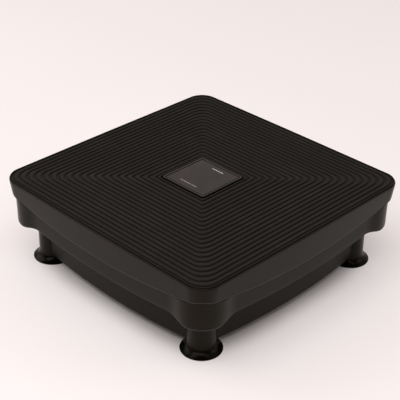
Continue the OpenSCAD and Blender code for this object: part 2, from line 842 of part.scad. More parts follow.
// Half-moon weight on the +X end, hanging down
module eccentric_weight() {
    on_axis(weight_x) difference() {
        linear_extrude(weight_t) {
            circle(weight_hub_d / 2);
            intersection() {
                circle(weight_r);
                translate([0, -weight_r]) square([weight_r, 2 * weight_r]);
            }
        }
        translate([0, 0, -eps]) cylinder(r = shaft_r + run_gap, h = weight_t + 2 * eps);
        translate([0, 0, weight_t / 2]) rotate([0, -90, 0])
            cylinder(r = set_screw_r + seat_gap, h = weight_hub_d);
    }
}

module eccentric_weight_right() color("#6e7378") {
    eccentric_weight();
}

module eccentric_weight_left() color("#6e7378") {
    mirror([1, 0, 0]) eccentric_weight();
}

// Set screws that lock the weights to the shaft
module weight_screws() color(dark_steel) {
    for (s = [-1, 1]) translate([s * (weight_x + weight_t / 2), 0, motor_z + shaft_r + seat_gap])
        difference() {
            cylinder(r = set_screw_r, h = weight_hub_d / 2 - shaft_r);
            translate([0, 0, weight_hub_d / 2 - shaft_r - 1.5]) cylinder(r = 1.3, h = 2, $fn = 6);
        }
}

// Square with bowed sides
module bowed_square(inset) {
    intersection_for (q = [0:3]) {
        rotate(90 * q) translate([pan_half - pan_bow_r, 0]) circle(pan_bow_r - inset, $fn = 256);
    }
}

// Plan of the pan beside the pillars, with scallops that leave them free to move
module pan_plan(inset) {
    difference() {
        bowed_square(inset);
        boss_plan(pan_gap + inset);
    }
}

// Plan of the pan below the pillars, where its corners reach the legs
module pan_low_plan(inset) {
    difference() {
        bowed_square(inset);
        at_legs() circle(leg_r + fit_gap + inset);
    }
}

// Ring that carries the legs and the isolators
module chassis() color("#2c2d30") {
    difference() {
        union() {
            translate([0, 0, flange_z]) linear_extrude(pan_t) difference() {
                rounded_square(flange_half, flange_r);
                pan_plan(chassis_w);
            }
            translate([0, 0, flange_z]) linear_extrude(pan_t + chassis_rim_h) difference() {
                pan_plan(chassis_w - pan_t);
                pan_plan(chassis_w);
            }
            at_legs() translate([0, 0, flange_z]) cylinder(r = plate_r + 1, h = pan_t + isolator_boss_h);
        }
        at_legs() translate([0, 0, flange_z - eps])
            cylinder(r = bolt_hole_r, h = pan_t + isolator_boss_h + 2 * eps);
        pan_screw_places() translate([0, 0, flange_z - eps])
            cylinder(r = pan_screw_r + seat_gap, h = pan_t + eps - 0.5);
    }
}

// Belly under the chassis: floor, bowed walls, corner shelves, screw bosses and board posts
module base_pan() color("#202124") {
    h = flange_z - pan_z;
    difference() {
        union() {
            difference() {
                union() {
                    translate([0, 0, pan_z]) linear_extrude(h) pan_plan(0);
                    translate([0, 0, pan_z]) linear_extrude(pan_shelf_z - pan_z) pan_low_plan(0);
                }
                translate([0, 0, pan_floor_z]) linear_extrude(h) pan_plan(pan_t);
                translate([0, 0, pan_floor_z]) linear_extrude(pan_shelf_z - pan_t - pan_floor_z)
                    pan_low_plan(pan_t);
                for (q = [0:3]) rotate(90 * q) edge_cutter();
            }
            pan_screw_places() translate([0, 0, pan_z + pan_t / 2])
                cylinder(r = pan_boss_r, h = h - pan_t / 2);
            board_posts(post_h);
        }
        pan_screw_places() {
            translate([0, 0, pan_z - eps]) cylinder(r = pan_bore_r, h = pan_screw_z - pan_z + eps);
            translate([0, 0, pan_z]) cylinder(r = pan_screw_r + seat_gap, h = h + eps);
        }
        bay_screw_places() translate([0, 0, pan_z - eps])
            cylinder(r = pan_screw_r + seat_gap, h = pan_t + 2 * eps);
        bay_block(fit_gap);
        translate([0, 0, pan_t]) board_posts(plate_h, board_screw_r + seat_gap);
        vent_slots();
    }
}

// Cutter that rounds the bottom edge along one bowed side
module edge_cutter() {
    translate([pan_half - pan_bow_r, 0, pan_z]) rotate_extrude() translate([pan_bow_r - pan_edge_r, 0])
        difference() {
            translate([0, -eps]) square([2 * pan_edge_r, pan_edge_r + eps]);
            translate([0, pan_edge_r]) circle(pan_edge_r);
        }
}

// Screws that hold the pan: one at the middle of each side and one inside each leg
module pan_screw_places() {
    for (q = [0:3]) rotate(90 * q) {
        translate([pan_screw_side, 0, 0]) children();
        translate([pan_screw_corner, pan_screw_corner, 0]) children();
    }
}

// Screws that hold the bay to the pan's floor
module bay_screw_places() {
    for (s = [-1, 1]) translate([bay_x + s * bay_size.x * 0.39, bay_y + 1, 0]) children();
}

module pan_screws() color(dark_steel) {
    pan_screw_places() translate([0, 0, pan_screw_z])
        screw_up(pan_screw_r, flange_z - pan_screw_z + pan_t - 1, pan_head_r, pan_head_h);
    bay_screw_places() translate([0, 0, pan_z])
        screw_up(pan_screw_r, pan_t + 4.5, pan_head_r, pan_head_h);
}

// Recessed tray in the rear wall, which holds the inlet and the switch
module inlet_bay() color(plastic) {
    difference() {
        intersection() {
            bay_block(0);
            linear_extrude(plate_h) pan_plan(0);
        }
        bay_pocket();
        bay_cut(inlet_at, inlet_size);
        bay_cut(switch_at, switch_body);
        inlet_screw_places() cylinder(r = inlet_screw_r + seat_gap, h = 3 * bay_t, center = true);
        bay_screw_places() translate([0, 0, pan_z]) cylinder(r = pan_screw_r + seat_gap, h = pan_t + 5);
    }
}

// Outer block of the tray, standing on the pan's floor
module bay_block(grow) {
    side = bay_size.x / 2 + bay_w + grow;
    top = bay_z + bay_size.y / 2 + bay_w + grow;
    translate([bay_x - side, bay_y - bay_t, pan_floor_z])
        cube([2 * side, bay_depth + bay_t + eps, top - pan_floor_z]);
}

module bay_pocket() {
    translate([bay_x - bay_size.x / 2, bay_y, bay_z - bay_size.y / 2])
        cube([bay_size.x, 2 * bay_depth, bay_size.y]);
}

module bay_cut(at, size) {
    translate([at.x - size.x / 2 - fit_gap, at.y - 2 * bay_t, at.z - size.y / 2 - fit_gap])
        cube([size.x + 2 * fit_gap, 4 * bay_t, size.y + 2 * fit_gap]);
}

module inlet_screw_places() {
    for (s = [-1, 1]) translate(inlet_at + [s * inlet_screw_x, 0, 0]) rotate([90, 0, 0]) children();
}

module board_posts(h, r = post_r) {
    for (c = CORNERS)
        translate([board_at.x + c.x * board_post.x, board_at.y + c.y * board_post.y, pan_floor_z - eps])
            cylinder(r = r, h = h + eps);
}

// Two rows of slots through the pan's floor, under the motor
module vent_slots() {
    for (s = [-1, 1], k = [0:vent_count - 1])
        translate([s * vent_l * 1.1, (k - (vent_count - 1) / 2) * vent_w * 2.5, pan_z - eps])
            linear_extrude(pan_t + 2 * eps) {
                square([vent_l - vent_w, vent_w], center = true);
                for (e = [-1, 1]) translate([e * (vent_l - vent_w) / 2, 0]) circle(vent_w / 2);
            }
}

// Lower end plates of the isolators
module isolator_seats() color(steel) {
    at_legs() translate([0, 0, isolator_seat_z]) difference() {
        cylinder(r = plate_r, h = isolator_plate_t);
        translate([0, 0, -eps]) cylinder(r = bolt_hole_r, h = isolator_plate_t + 2 * eps);
    }
}

// Waisted rubber body of an isolator
module isolator(corner) color(cup_black) {
    waist_r = (rubber_h * rubber_h / 16 + isolator_waist * isolator_waist) / (2 * isolator_waist);
    translate(leg_c * CORNERS[corner]) translate([0, 0, rubber_z]) rotate_extrude() difference() {
        square([rubber_r, rubber_h]);
        translate([rubber_r - isolator_waist + waist_r, rubber_h / 2]) circle(waist_r);
    }
}

// Leg post with its collar, web and bore
module leg(corner) color(plastic) {
    translate(leg_c * CORNERS[corner]) difference() {
        union() {
            translate([0, 0, cup_h]) cylinder(r = leg_r, h = flange_z - cup_h);
            translate([0, 0, collar_top_z - collar_h]) cylinder(r = leg_r + collar_out, h = collar_h);
        }
        translate([0, 0, cup_h - eps]) cylinder(r = leg_r - leg_wall, h = bolt_head_z - cup_h + eps);
        translate([0, 0, bolt_head_z - eps]) cylinder(r = bolt_hole_r, h = leg_web_t + 2 * eps);
    }
}

// Suction cup: flared rubber bell, hollow below, with a plug that sits in the leg
module suction_cup(corner) color(cup_black) {
    lip_r = cup_d / 2;
    plug_r = leg_r - leg_wall - seat_gap;
    steps = 8;
    flare = [for (i = [0:steps]) let (t = i / steps)
        [leg_r + (lip_r - leg_r) * pow(1 - t, 1.6), cup_lip_t + (cup_h - cup_lip_t) * t]];
    dome = [for (i = [0:steps]) let (t = i / steps)
        [(lip_r - cup_ring_w) * cos(90 * t), cup_hollow * sin(90 * t)]];
    translate(leg_c * CORNERS[corner]) rotate_extrude()
        polygon(concat(
            [[lip_r, 0]],
            flare,
            [[plug_r, cup_h], [plug_r, cup_h + cup_plug_l], [0, cup_h + cup_plug_l]],
            [for (i = [steps:-1:0]) dome[i]]
        ));
}

// Bolts from inside the legs up into the isolators
module leg_bolts() color(dark_steel) {
    at_legs() translate([0, 0, bolt_head_z]) {
        cylinder(r = bolt_r, h = rubber_z - bolt_head_z - 0.2);
        translate([0, 0, -5.5]) cylinder(r = bolt_head_r, h = 5.5, $fn = 6);
    }
}

module control_board() color(board_green) {
    difference() {
        translate([board_at.x, board_at.y, board_z]) translate([-board_size.x / 2, -board_size.y / 2, 0])
            cube([board_size.x, board_size.y, board_t]);
        board_posts(plate_h, board_screw_r + seat_gap);
    }
}

module board_screws() color(steel) {
    for (c = CORNERS)
        translate([board_at.x + c.x * board_post.x, board_at.y + c.y * board_post.y, board_top_z])
            mirror([0, 0, 1]) screw_up(board_screw_r, board_t + post_h - 2.5, board_head_r, 1.8);
}

module capacitor() color("#23304a") {
    translate([board_at.x - 30, board_at.y + 4, board_top_z]) {
        cylinder(r = 9, h = 27);
        translate([0, 0, 27]) cylinder(r = 7.6, h = 0.8);
    }
}

// Finned block of aluminium
module heat_sink() color(aluminium) {
    fins = 7;
    fin_t = 1.4;
    size = [30, 22, 24];
    pitch = (size.x - fin_t) / (fins - 1);
    translate([board_at.x + 26, board_at.y + 9, board_top_z]) translate([-size.x / 2, -size.y / 2, 0]) {
        cube([size.x, size.y, 4]);
        for (k = [0:fins - 1]) translate([k * pitch, 0, 0]) cube([fin_t, size.y, size.z]);
    }
}

// Small transformer: laminated core with its bobbin
module transformer() color("#c9a227") {
    translate([board_at.x - 2, board_at.y + 6, board_top_z]) {
        translate([-12, -10, 0]) cube([24, 20, 18]);
        translate([-8, -13, 2]) cube([16, 26, 14]);
    }
}

module terminal_block() color("#2f7d4f") {
    ways = 4;
    pitch = 7.5;
    translate([board_at.x - 20, board_at.y - 22, board_top_z]) difference() {
        translate([-ways * pitch / 2, -5.5, 0]) cube([ways * pitch, 11, 12]);
        for (k = [0:ways - 1]) translate([(k - (ways - 1) / 2) * pitch, 0, 0]) {
            translate([0, 0, 7]) cylinder(r = 2.2, h = 6);
            translate([-2, -6, 1.5]) cube([4, 5, 4]);
        }
    }
}

// Mains inlet with three-pin mouth
module power_inlet() color("#1a1b1d") {
    translate(inlet_at) difference() {
        union() {
            translate([-inlet_flange.x / 2, 0, -inlet_flange.y / 2])
                cube([inlet_flange.x, inlet_flange_t, inlet_flange.y]);
            translate([-inlet_size.x / 2, -inlet_l, -inlet_size.y / 2])
                cube([inlet_size.x, inlet_l + eps, inlet_size.y]);
        }
        translate([0, -inlet_l + inlet_back_t, 0]) rotate([-90, 0, 0])
            linear_extrude(inlet_l + inlet_flange_t) inlet_plan();
        for (s = [-1, 1]) translate([s * inlet_screw_x, 0, 0]) rotate([90, 0, 0])
            cylinder(r = inlet_screw_r + seat_gap, h = 4 * inlet_flange_t, center = true);
    }
}

// Outline of the inlet's mouth, with two corners cut off
module inlet_plan() {
    w = inlet_mouth.x / 2;
    h = inlet_mouth.y / 2;
    cut = 5;
    polygon([[-w, h], [w, h], [w, -h + cut], [w - cut, -h], [-w + cut, -h], [-w, -h + cut]]);
}

// Contact pins in the mouth, and the tabs behind the inlet
module inlet_pins() color("#c8b273") {
    for (k = [-1, 0, 1]) translate([inlet_at.x + k * pin_spacing, 0, bay_z + (k == 0 ? 2 : -2)]) {
        translate([-pin_size.x / 2, inlet_floor_y, -pin_size.y / 2]) cube([pin_size.x, pin_l, pin_size.y]);
        translate([-0.4, inlet_floor_y - inlet_back_t - 8, -3]) cube([0.8, 8, 6]);
    }
}

module inlet_screws() color(dark_steel) {
    inlet_screw_places() translate([0, 0, -inlet_flange_t])
        screw_up(inlet_screw_r, inlet_flange_t + bay_t - 0.5, inlet_head_r, 1.8);
}

module switch_frame() color("#1a1b1d") {
    outer = switch_mouth + 2 * [switch_frame_w, switch_frame_w];
    translate(switch_at) difference() {
        union() {
            translate([-outer.x / 2, 0, -outer.y / 2]) cube([outer.x, switch_frame_t, outer.y]);
            translate([-switch_body.x / 2, -switch_l, -switch_body.y / 2])
                cube([switch_body.x, switch_l + eps, switch_body.y]);
        }
        translate([-switch_mouth.x / 2, -switch_l / 2, -switch_mouth.y / 2])
            cube([switch_mouth.x, switch_l, switch_mouth.y]);
        translate(rocker_at - switch_at) rotate([0, 90, 0])
            cylinder(r = rocker_pin_r + run_gap, h = 2 * switch_body.x, center = true);
    }
}

// Rocker at rest with its lower end pressed in
module switch_rocker() color("#7d1f1f") {
    translate(rocker_at) rotate([-rocker_throw / 2, 0, 0]) {
        translate([-rocker_w / 2, 0, 0]) rotate([90, 0, 90]) linear_extrude(rocker_w) rocker_outline();
        rotate([0, 90, 0]) cylinder(r = rocker_pin_r, h = switch_body.x - 0.4, center = true);
    }
}

// Side view of the rocker: round ends, with a shallow vee across the front
module rocker_outline() {
    intersection() {
        circle(rocker_r);
        polygon([
            [-3, -rocker_r],
            [rocker_end, -rocker_r],
            [rocker_dip, 0],
            [rocker_end, rocker_r],
            [-3, rocker_r]
        ]);
    }
}

top_mat();
display_bezel();
display_lens();
led_module();
display_board();
top_lid();
deck_plate();
deck_screws();
skirt();
skirt_screws();
isolator_caps();
isolator_bolts();
motor_housing();
motor_end_bell_left();
motor_end_bell_right();
stator_core();
stator_windings();
motor_bearings();
motor_saddles();
motor_straps();
strap_bolts();
rotor_shaft();
rotor_core();
eccentric_weight_left();
eccentric_weight_right();
weight_screws();
chassis();
base_pan();
pan_screws();
inlet_bay();
isolator_seats();
isolator(0);  // isolator_front_left
isolator(1);  // isolator_front_right
isolator(2);  // isolator_back_left
isolator(3);  // isolator_back_right
leg(0);  // leg_front_left
leg(1);  // leg_front_right
leg(2);  // leg_back_left
leg(3);  // leg_back_right
suction_cup(0);  // suction_cup_front_left
suction_cup(1);  // suction_cup_front_right
suction_cup(2);  // suction_cup_back_left
suction_cup(3);  // suction_cup_back_right
leg_bolts();
control_board();
board_screws();
capacitor();
heat_sink();
transformer();
terminal_block();
power_inlet();
inlet_pins();
inlet_screws();
switch_frame();
switch_rocker();
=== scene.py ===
# %% [markdown]
# # A square vibration platform
# The imported frame holds every part of the machine as a plain solid, in metres, where it belongs: mat, lid,
# skirt, pan, legs, cups, and the motor inside. This lesson keeps that frame fixed and gives the parts their
# finished shapes and surfaces. The first cell loads the frame.

# %% Load the frame
import json
import math

import bmesh
import bpy
import numpy as np
from mathutils import Matrix, Vector


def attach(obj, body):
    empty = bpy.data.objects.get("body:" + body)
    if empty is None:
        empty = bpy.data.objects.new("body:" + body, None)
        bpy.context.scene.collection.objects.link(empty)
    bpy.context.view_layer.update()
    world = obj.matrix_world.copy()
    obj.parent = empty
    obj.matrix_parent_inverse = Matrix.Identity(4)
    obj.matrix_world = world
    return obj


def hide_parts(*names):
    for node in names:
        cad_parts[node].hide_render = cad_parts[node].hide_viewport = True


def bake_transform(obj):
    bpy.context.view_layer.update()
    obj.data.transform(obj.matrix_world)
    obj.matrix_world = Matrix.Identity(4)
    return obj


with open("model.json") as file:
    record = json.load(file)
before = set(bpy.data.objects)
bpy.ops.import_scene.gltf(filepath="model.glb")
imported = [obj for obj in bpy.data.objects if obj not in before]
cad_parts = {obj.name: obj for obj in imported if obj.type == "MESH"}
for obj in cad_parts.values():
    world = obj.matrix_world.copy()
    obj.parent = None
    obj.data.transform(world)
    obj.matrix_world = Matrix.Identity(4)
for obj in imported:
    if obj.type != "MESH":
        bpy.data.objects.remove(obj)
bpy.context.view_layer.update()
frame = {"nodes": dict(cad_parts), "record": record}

MM = 0.001


def placed(name, data):
    """A new object in the scene."""
    thing = bpy.data.objects.new(name, data)
    bpy.context.collection.objects.link(thing)
    return thing


# %% [markdown]
# ## Camera
# The photograph looks down on one corner. Its twenty grooves are evenly spaced, so they fix the lens, the
# angles and the distance together. The camera is set from those angles, and its place follows from them, which
# is easier to read and to change than a bare matrix.

# %% Place the camera
azimuth, elevation, roll = (math.radians(a) for a in (44.61, 30.59, -0.86))
aim = Vector((1.88, 0.78, 132)) * MM
offset = Vector((-5.46, -31.68, 1580)) * MM

back = Vector((math.sin(azimuth) * math.cos(elevation), -math.cos(azimuth) * math.cos(elevation),
               math.sin(elevation)))
right = Vector((math.cos(azimuth), math.sin(azimuth), 0))
turn = Matrix((right, back.cross(right), back)).transposed() @ Matrix.Rotation(-roll, 3, "Z")

camera = placed("camera", bpy.data.cameras.new("camera"))
camera.data.lens = 101.45
camera.data.sensor_width = 36
camera.matrix_world = Matrix.Translation(aim + turn @ offset) @ turn.to_4x4()
bpy.context.scene.camera = camera
print("camera at", [round(v, 3) for v in camera.matrix_world.translation])

# %% [markdown]
# ## Sums on wires
# A finish is a small sum: dust where the surface is low, plus grain, less polish along an edge. Blender writes
# that as Math nodes. The class below lets the script write it as a sum, and each operator adds its node. One
# method makes every other node: it sets the node's settings first, then fills or links its sockets.

# %% Wires and graphs
class Wire:
    """An output of a node that can stand in a sum."""

    def __init__(self, graph, socket):
        self.graph = graph
        self.socket = socket


def operator(operation, swapped):
    def method(self, *other):
        return self.graph.math(operation, *other, self) if swapped else self.graph.math(operation, self, *other)
    return method


SIGNS = {"add": "ADD", "sub": "SUBTRACT", "mul": "MULTIPLY", "truediv": "DIVIDE", "mod": "FLOORED_MODULO",
         "pow": "POWER", "lt": "LESS_THAN", "gt": "GREATER_THAN", "abs": "ABSOLUTE",
         "radd": "ADD", "rsub": "SUBTRACT", "rmul": "MULTIPLY"}
for sign, operation in SIGNS.items():
    setattr(Wire, f"__{sign}__", operator(operation, sign[0] == "r"))


class Graph:
    """A node tree that is built by calls."""

    def __init__(self, tree):
        self.tree = tree

    def node(self, kind, settings=None, inputs=None, out=0):
        node = self.tree.nodes.new(kind)
        for key, value in (settings or {}).items():
            if key == "items":
                while len(node.index_switch_items) < value:
                    node.index_switch_items.new()
            else:
                setattr(node, key, value)
        for key, value in (inputs or {}).items():
            ready = [s for s in node.inputs if s.enabled]
            socket = ready[key] if isinstance(key, int) else next(s for s in ready if s.name == key)
            if isinstance(value, Wire):
                self.tree.links.new(value.socket, socket)
            else:
                socket.default_value = value
        outputs = node.outputs if isinstance(out, str) else [s for s in node.outputs if s.enabled]
        return Wire(self, outputs[out])

    def math(self, operation, *values):
        return self.node("ShaderNodeMath", {"operation": operation}, dict(enumerate(values)))

    def ramp(self, wire, low, high, **settings):
        """0 below low, 1 above high, and straight between them, unless the settings say otherwise."""
        return self.node("ShaderNodeMapRange", {"clamp": True, **settings}, {0: wire, 1: low, 2: high})

    def shade(self, share, first, second):
        """A mix of two colours, each a wire or a plain colour."""
        colour = [c if isinstance(c, Wire) else (*c, 1) for c in (first, second)]
        return self.node("ShaderNodeMix", {"data_type": "RGBA"},
                         {"Factor": share, "A": colour[0], "B": colour[1]})


print("wires and graphs ready")

# %% [markdown]
# ## What a finish is
# Every finish here is one Principled shader with a few patterns in front of it. The patterns read Object
# coordinates, which are metres on the machine, so a grain of half a millimetre is half a millimetre on every
# piece. Only colour, roughness and bump change over a surface. What stays the same is set on the shader itself.

# %% Finish builder
FINISHES = {}                      # every finish by its name, which is also the name of its slot


class Finish(Graph):
    """A material with one Principled shader and patterns in machine coordinates."""

    def __init__(self, name, **fixed):
        self.material = FINISHES[name] = bpy.data.materials.new(name)
        self.material.use_nodes = True
        super().__init__(self.material.node_tree)
        self.tree.nodes.clear()
        self.shader = self.tree.nodes.new("ShaderNodeBsdfPrincipled")
        end = self.tree.nodes.new("ShaderNodeOutputMaterial")
        self.tree.links.new(self.shader.outputs[0], end.inputs[0])
        for key, value in fixed.items():
            self.shader.inputs[key.replace("_", " ")].default_value = value
        self.place = self.node("ShaderNodeTexCoord", out="Object")

    def feed(self, **wires):
        for key, wire in wires.items():
            self.tree.links.new(wire.socket, self.shader.inputs[key.replace("_", " ")])

    def noise(self, scale, detail=2, stretch=None):
        place = self.place
        if stretch:
            place = self.node("ShaderNodeMapping", {}, {"Vector": place, "Scale": stretch})
        return self.node("ShaderNodeTexNoise", {}, {"Vector": place, "Scale": scale, "Detail": detail})

    def axis(self, name):
        return self.node("ShaderNodeSeparateXYZ", {}, {0: self.place}, out=name)

    def attribute(self, name):
        return self.node("ShaderNodeAttribute", {"attribute_name": name}, out="Fac")

    def specks(self, fine, rare, patch, start):
        """Fine dots above the level called rare, inside broad patches."""
        return self.ramp(self.noise(fine, 3), rare, 0.78) * self.ramp(self.noise(patch, 2), start, 0.7)

    def bump(self, height, strength, depth):
        self.feed(Normal=self.node("ShaderNodeBump", {}, {"Strength": strength, "Distance": depth,
                                                          "Height": height}))


print("finish builder ready")

# %% [markdown]
# ## Moulded plastic
# Lid, skirt, legs and pan are black plastic from a mould. Its skin has a fine eroded grain, slow clouds where the
# melt flowed, a little pale dust, and a paler tone along the edges that is partly polish where hands and floors
# rub them and partly a painted highlight. Each piece carries an "edge" value on its points, so that paler tone
# follows its real edges. A painted picture could hold all this, but noise in machine coordinates has no seams.

# %% Plastic finishes
# The paler edge tone is partly rubbed wear and partly a painted highlight.
RUBBED_AND_HIGHLIGHT, DUST = (0.07, 0.062, 0.055), (0.12, 0.11, 0.1)


def moulded(name, dark, light, rough, dust, grain=0.12, gloss=0.138):
    f = Finish(name, IOR=1.45, Specular_IOR_Level=gloss, Specular_Tint=(1, 0.9, 0.75, 1))
    flow = f.noise(11, 3)
    skin = f.noise(1700, 2)
    edge = f.attribute("edge")
    tone = f.shade(f.ramp(flow, 0.35, 0.65), dark, light)
    # Painted highlight and wear: edges are mixed towards the paler tone.
    tone = f.shade(edge * (0.5 + 0.3 * f.ramp(f.noise(240, 3), 0.3, 0.7)), tone, RUBBED_AND_HIGHLIGHT)
    tone = f.shade(f.specks(620, 0.66, 45, 0.45) * dust, tone, DUST)
    f.feed(Base_Color=tone, Roughness=rough + (skin - 0.5) * 0.14 + (flow - 0.5) * 0.1 - edge * 0.06)
    f.bump(skin, grain, 0.0002)


moulded("shell_plastic", (0.0068, 0.0053, 0.0037), (0.0084, 0.0065, 0.0046), 0.32, 0.12)
moulded("pan_plastic", (0.0046, 0.0037, 0.0028), (0.006, 0.0048, 0.0036), 0.42, 0.16, 0.2)
moulded("bezel_plastic", (0.004, 0.0036, 0.0032), (0.0055, 0.005, 0.0045), 0.2, 0.1, 0.05, 0.5)
moulded("black_plastic", (0.0085, 0.0082, 0.008), (0.012, 0.0117, 0.0115), 0.42, 0.12, 0.18)
moulded("rocker_plastic", (0.1, 0.006, 0.005), (0.15, 0.009, 0.007), 0.26, 0.1, 0.06)
print("plastics:", list(FINISHES))

# %% [markdown]
# ## Rubber
# The mat is dull rubber, painted a shade darker down in the grooves than on the ribs' tops. Beyond that painted
# shade, its grooves look dark where a rib hides their light, so they fade where one looks along them, as in the
# photograph. Feet rub the tops of the ribs a little paler, and height is enough to find those tops, because the
# mat is level. The cups and the isolators are softer and shinier, with the faint rings that the mould's lathe
# left.

# %% Rubber finishes
MAT_TOP, FLOOR = 132.0, 129.8      # heights of the ribs' tops and of the grooves' floor


def mat_finish():
    f = Finish("mat_rubber", IOR=1.4, Specular_IOR_Level=0.15)
    skin = f.noise(1300, 3)
    wear = f.noise(26, 4)
    height = f.ramp(f.axis("Z"), FLOOR * MM, MAT_TOP * MM)
    # Painted shade: the groove floor is a shade darker than the ribs' tops.
    tone = f.shade(height, (0.011, 0.009, 0.0072), (0.012, 0.0098, 0.0079))
    tone = f.shade(f.ramp(wear, 0.48, 0.7) * 0.5 * height, tone, (0.0185, 0.0153, 0.0127))
    tone = f.shade(f.specks(700, 0.68, 60, 0.4) * 0.15, tone, (0.1, 0.09, 0.08))
    f.feed(Base_Color=tone, Roughness=0.62 + (skin - 0.5) * 0.2 - f.ramp(wear, 0.5, 0.75) * 0.06)
    f.bump(skin, 0.3, 0.0003)


def soft_rubber(name, dark, light, rough):
    f = Finish(name, IOR=1.5, Specular_IOR_Level=0.08, Specular_Tint=(1, 0.86, 0.7, 1))
    skin = f.noise(900, 3)
    cloud = f.noise(55, 3)
    rings = f.math("SINE", f.axis("Z") * 9000)
    tone = f.shade(f.ramp(cloud, 0.4, 0.65), dark, light)
    tone = f.shade(f.attribute("edge") * 0.3, tone, (0.03, 0.03, 0.03))
    f.feed(Base_Color=tone, Roughness=rough + (cloud - 0.5) * 0.16 + (skin - 0.5) * 0.06)
    f.bump(skin * 0.6 + rings * 0.25, 0.08, 0.0003)


mat_finish()
soft_rubber("cup_rubber", (0.0016, 0.0014, 0.0011), (0.0026, 0.0022, 0.0018), 0.2)
soft_rubber("isolator_rubber", (0.008, 0.008, 0.008), (0.012, 0.0118, 0.0115), 0.5)
print("rubbers:", list(FINISHES)[-3:])

# %% [markdown]
# ## The display window
# The lens is smoked acrylic: almost black in itself and smooth, with a few faint smears. Behind it the dark
# digit block shows as a slightly deeper field. Two rows of short plain ticks are printed along two of its
# edges. They are a sum of the place on the lens, so they stay crisp at any distance.

# %% Lens finish
FAR_ROW, NEAR_ROW = 0.0274, 0.0262  # distances of the two rows of ticks from the middle
TICK_PITCH, TICK_WIDTH = 0.0032, 0.0022


def lens_finish():
    f = Finish("smoked_lens", IOR=1.49, Specular_IOR_Level=0.41, Specular_Tint=(1, 0.82, 0.76, 1))
    x, y = f.axis("X"), f.axis("Y")
    far_row = (abs(y - FAR_ROW) < 0.0007) * (x > -0.0083) * (x < 0.0133)
    near_row = (abs(y + NEAR_ROW) < 0.0006) * (x > -0.018) * (x < 0.0141) * 0.6
    tick = (far_row + near_row) * (((x + 0.1) % TICK_PITCH) < TICK_WIDTH)
    field = (abs(y) < 0.02) * (abs(x) < 0.0205)
    cloud = f.ramp(f.noise(48, 2), 0.42, 0.58)
    tone = f.shade(cloud, (0.0082, 0.0076, 0.0068), (0.0132, 0.0084, 0.0086))
    tone = f.shade(field * 0.35, tone, (0.004, 0.0038, 0.0036))
    tone = f.shade(tick, tone, (0.55, 0.54, 0.53))
    smear = f.ramp(f.noise(38, 4, (1, 0.35, 1)), 0.5, 0.72)
    f.feed(Base_Color=tone, Roughness=0.1 + smear * 0.1 + tick * 0.3)


lens_finish()
print("lens:", list(FINISHES)[-1])

# %% [markdown]
# ## Metals and boards
# Inside the machine are turned steel, cast aluminium, painted sheet, stacked iron sheets, copper wire and two
# circuit boards. Each gets the mark of how it was made: a drawn grain, a cast skin, an orange-peel paint, the
# lines between stacked sheets, the lacquer of a winding, or tracks under a green varnish.

# %% Metal finishes
def metal(name, dark, light, rough, stretch, scale, grain, rust=0.0):
    f = Finish(name, Metallic=1.0)
    drawn = f.noise(scale, 3, stretch)
    cloud = f.noise(40, 3)
    tone = f.shade(f.ramp(cloud * 0.6 + drawn * 0.4, 0.35, 0.65), dark, light)
    tone = f.shade(f.ramp(f.noise(130, 4), 0.62, 0.74) * rust, tone, (0.09, 0.045, 0.025))
    f.feed(Base_Color=tone, Roughness=rough + (drawn - 0.5) * 0.22 + (cloud - 0.5) * 0.1)
    f.bump(drawn, grain, 0.0002)


def stacked_iron():
    f = Finish("core_iron", Metallic=0.9)
    sheet = f.ramp((f.axis("X") + 1.0) % 0.0005, 0.00036, 0.0005)
    cloud = f.noise(60, 3)
    tone = f.shade(cloud, (0.1, 0.1, 0.105), (0.19, 0.19, 0.19))
    tone = f.shade(sheet * 0.7, tone, (0.03, 0.03, 0.032))
    f.feed(Base_Color=tone, Roughness=0.42 + (cloud - 0.5) * 0.3 + sheet * 0.2)
    f.bump(1 - sheet, 0.35, 0.0001)


def wound_copper():
    f = Finish("copper_wire", Metallic=0.75, Coat_Weight=0.5, Coat_Roughness=0.15)
    cloud = f.noise(300, 2)
    tone = f.shade(cloud, (0.36, 0.12, 0.045), (0.58, 0.24, 0.1))
    f.feed(Base_Color=tone, Roughness=0.28 + cloud * 0.14)
    f.bump(cloud, 0.2, 0.0002)


def sheet_paint():
    f = Finish("painted_steel", IOR=1.5)
    cloud = f.noise(25, 3)
    tone = f.shade(cloud, (0.038, 0.041, 0.045), (0.055, 0.058, 0.063))
    f.feed(Base_Color=tone, Roughness=0.33 + (cloud - 0.5) * 0.12)
    f.bump(f.noise(420, 2), 0.18, 0.0004)


def varnished_board():
    f = Finish("circuit_board", IOR=1.5)
    track = f.node("ShaderNodeTexBrick", {"offset": 0.37},
                   {"Vector": f.place, "Scale": 130, "Mortar Size": 0.09, "Brick Width": 0.8, "Row Height": 0.2},
                   out="Fac")
    cloud = f.noise(70, 2)
    tone = f.shade(cloud, (0.008, 0.05, 0.022), (0.012, 0.072, 0.033))
    tone = f.shade(track * 0.55, tone, (0.03, 0.13, 0.06))
    f.feed(Base_Color=tone, Roughness=0.26 + track * 0.12 + (cloud - 0.5) * 0.1)
    f.bump(track, 0.2, 0.0001)


metal("plate_steel", (0.36, 0.37, 0.38), (0.5, 0.51, 0.52), 0.34, (1, 0.06, 1), 900, 0.08)
metal("fastener_steel", (0.2, 0.2, 0.21), (0.33, 0.33, 0.33), 0.36, (1, 1, 0.2), 800, 0.08, 0.15)
metal("cast_aluminium", (0.47, 0.48, 0.49), (0.62, 0.63, 0.64), 0.5, (1, 1, 1), 700, 0.35)
metal("pin_brass", (0.52, 0.36, 0.14), (0.68, 0.49, 0.22), 0.28, (1, 0.1, 1), 900, 0.06)
stacked_iron()
wound_copper()
sheet_paint()
varnished_board()
print("finishes:", len(FINISHES))

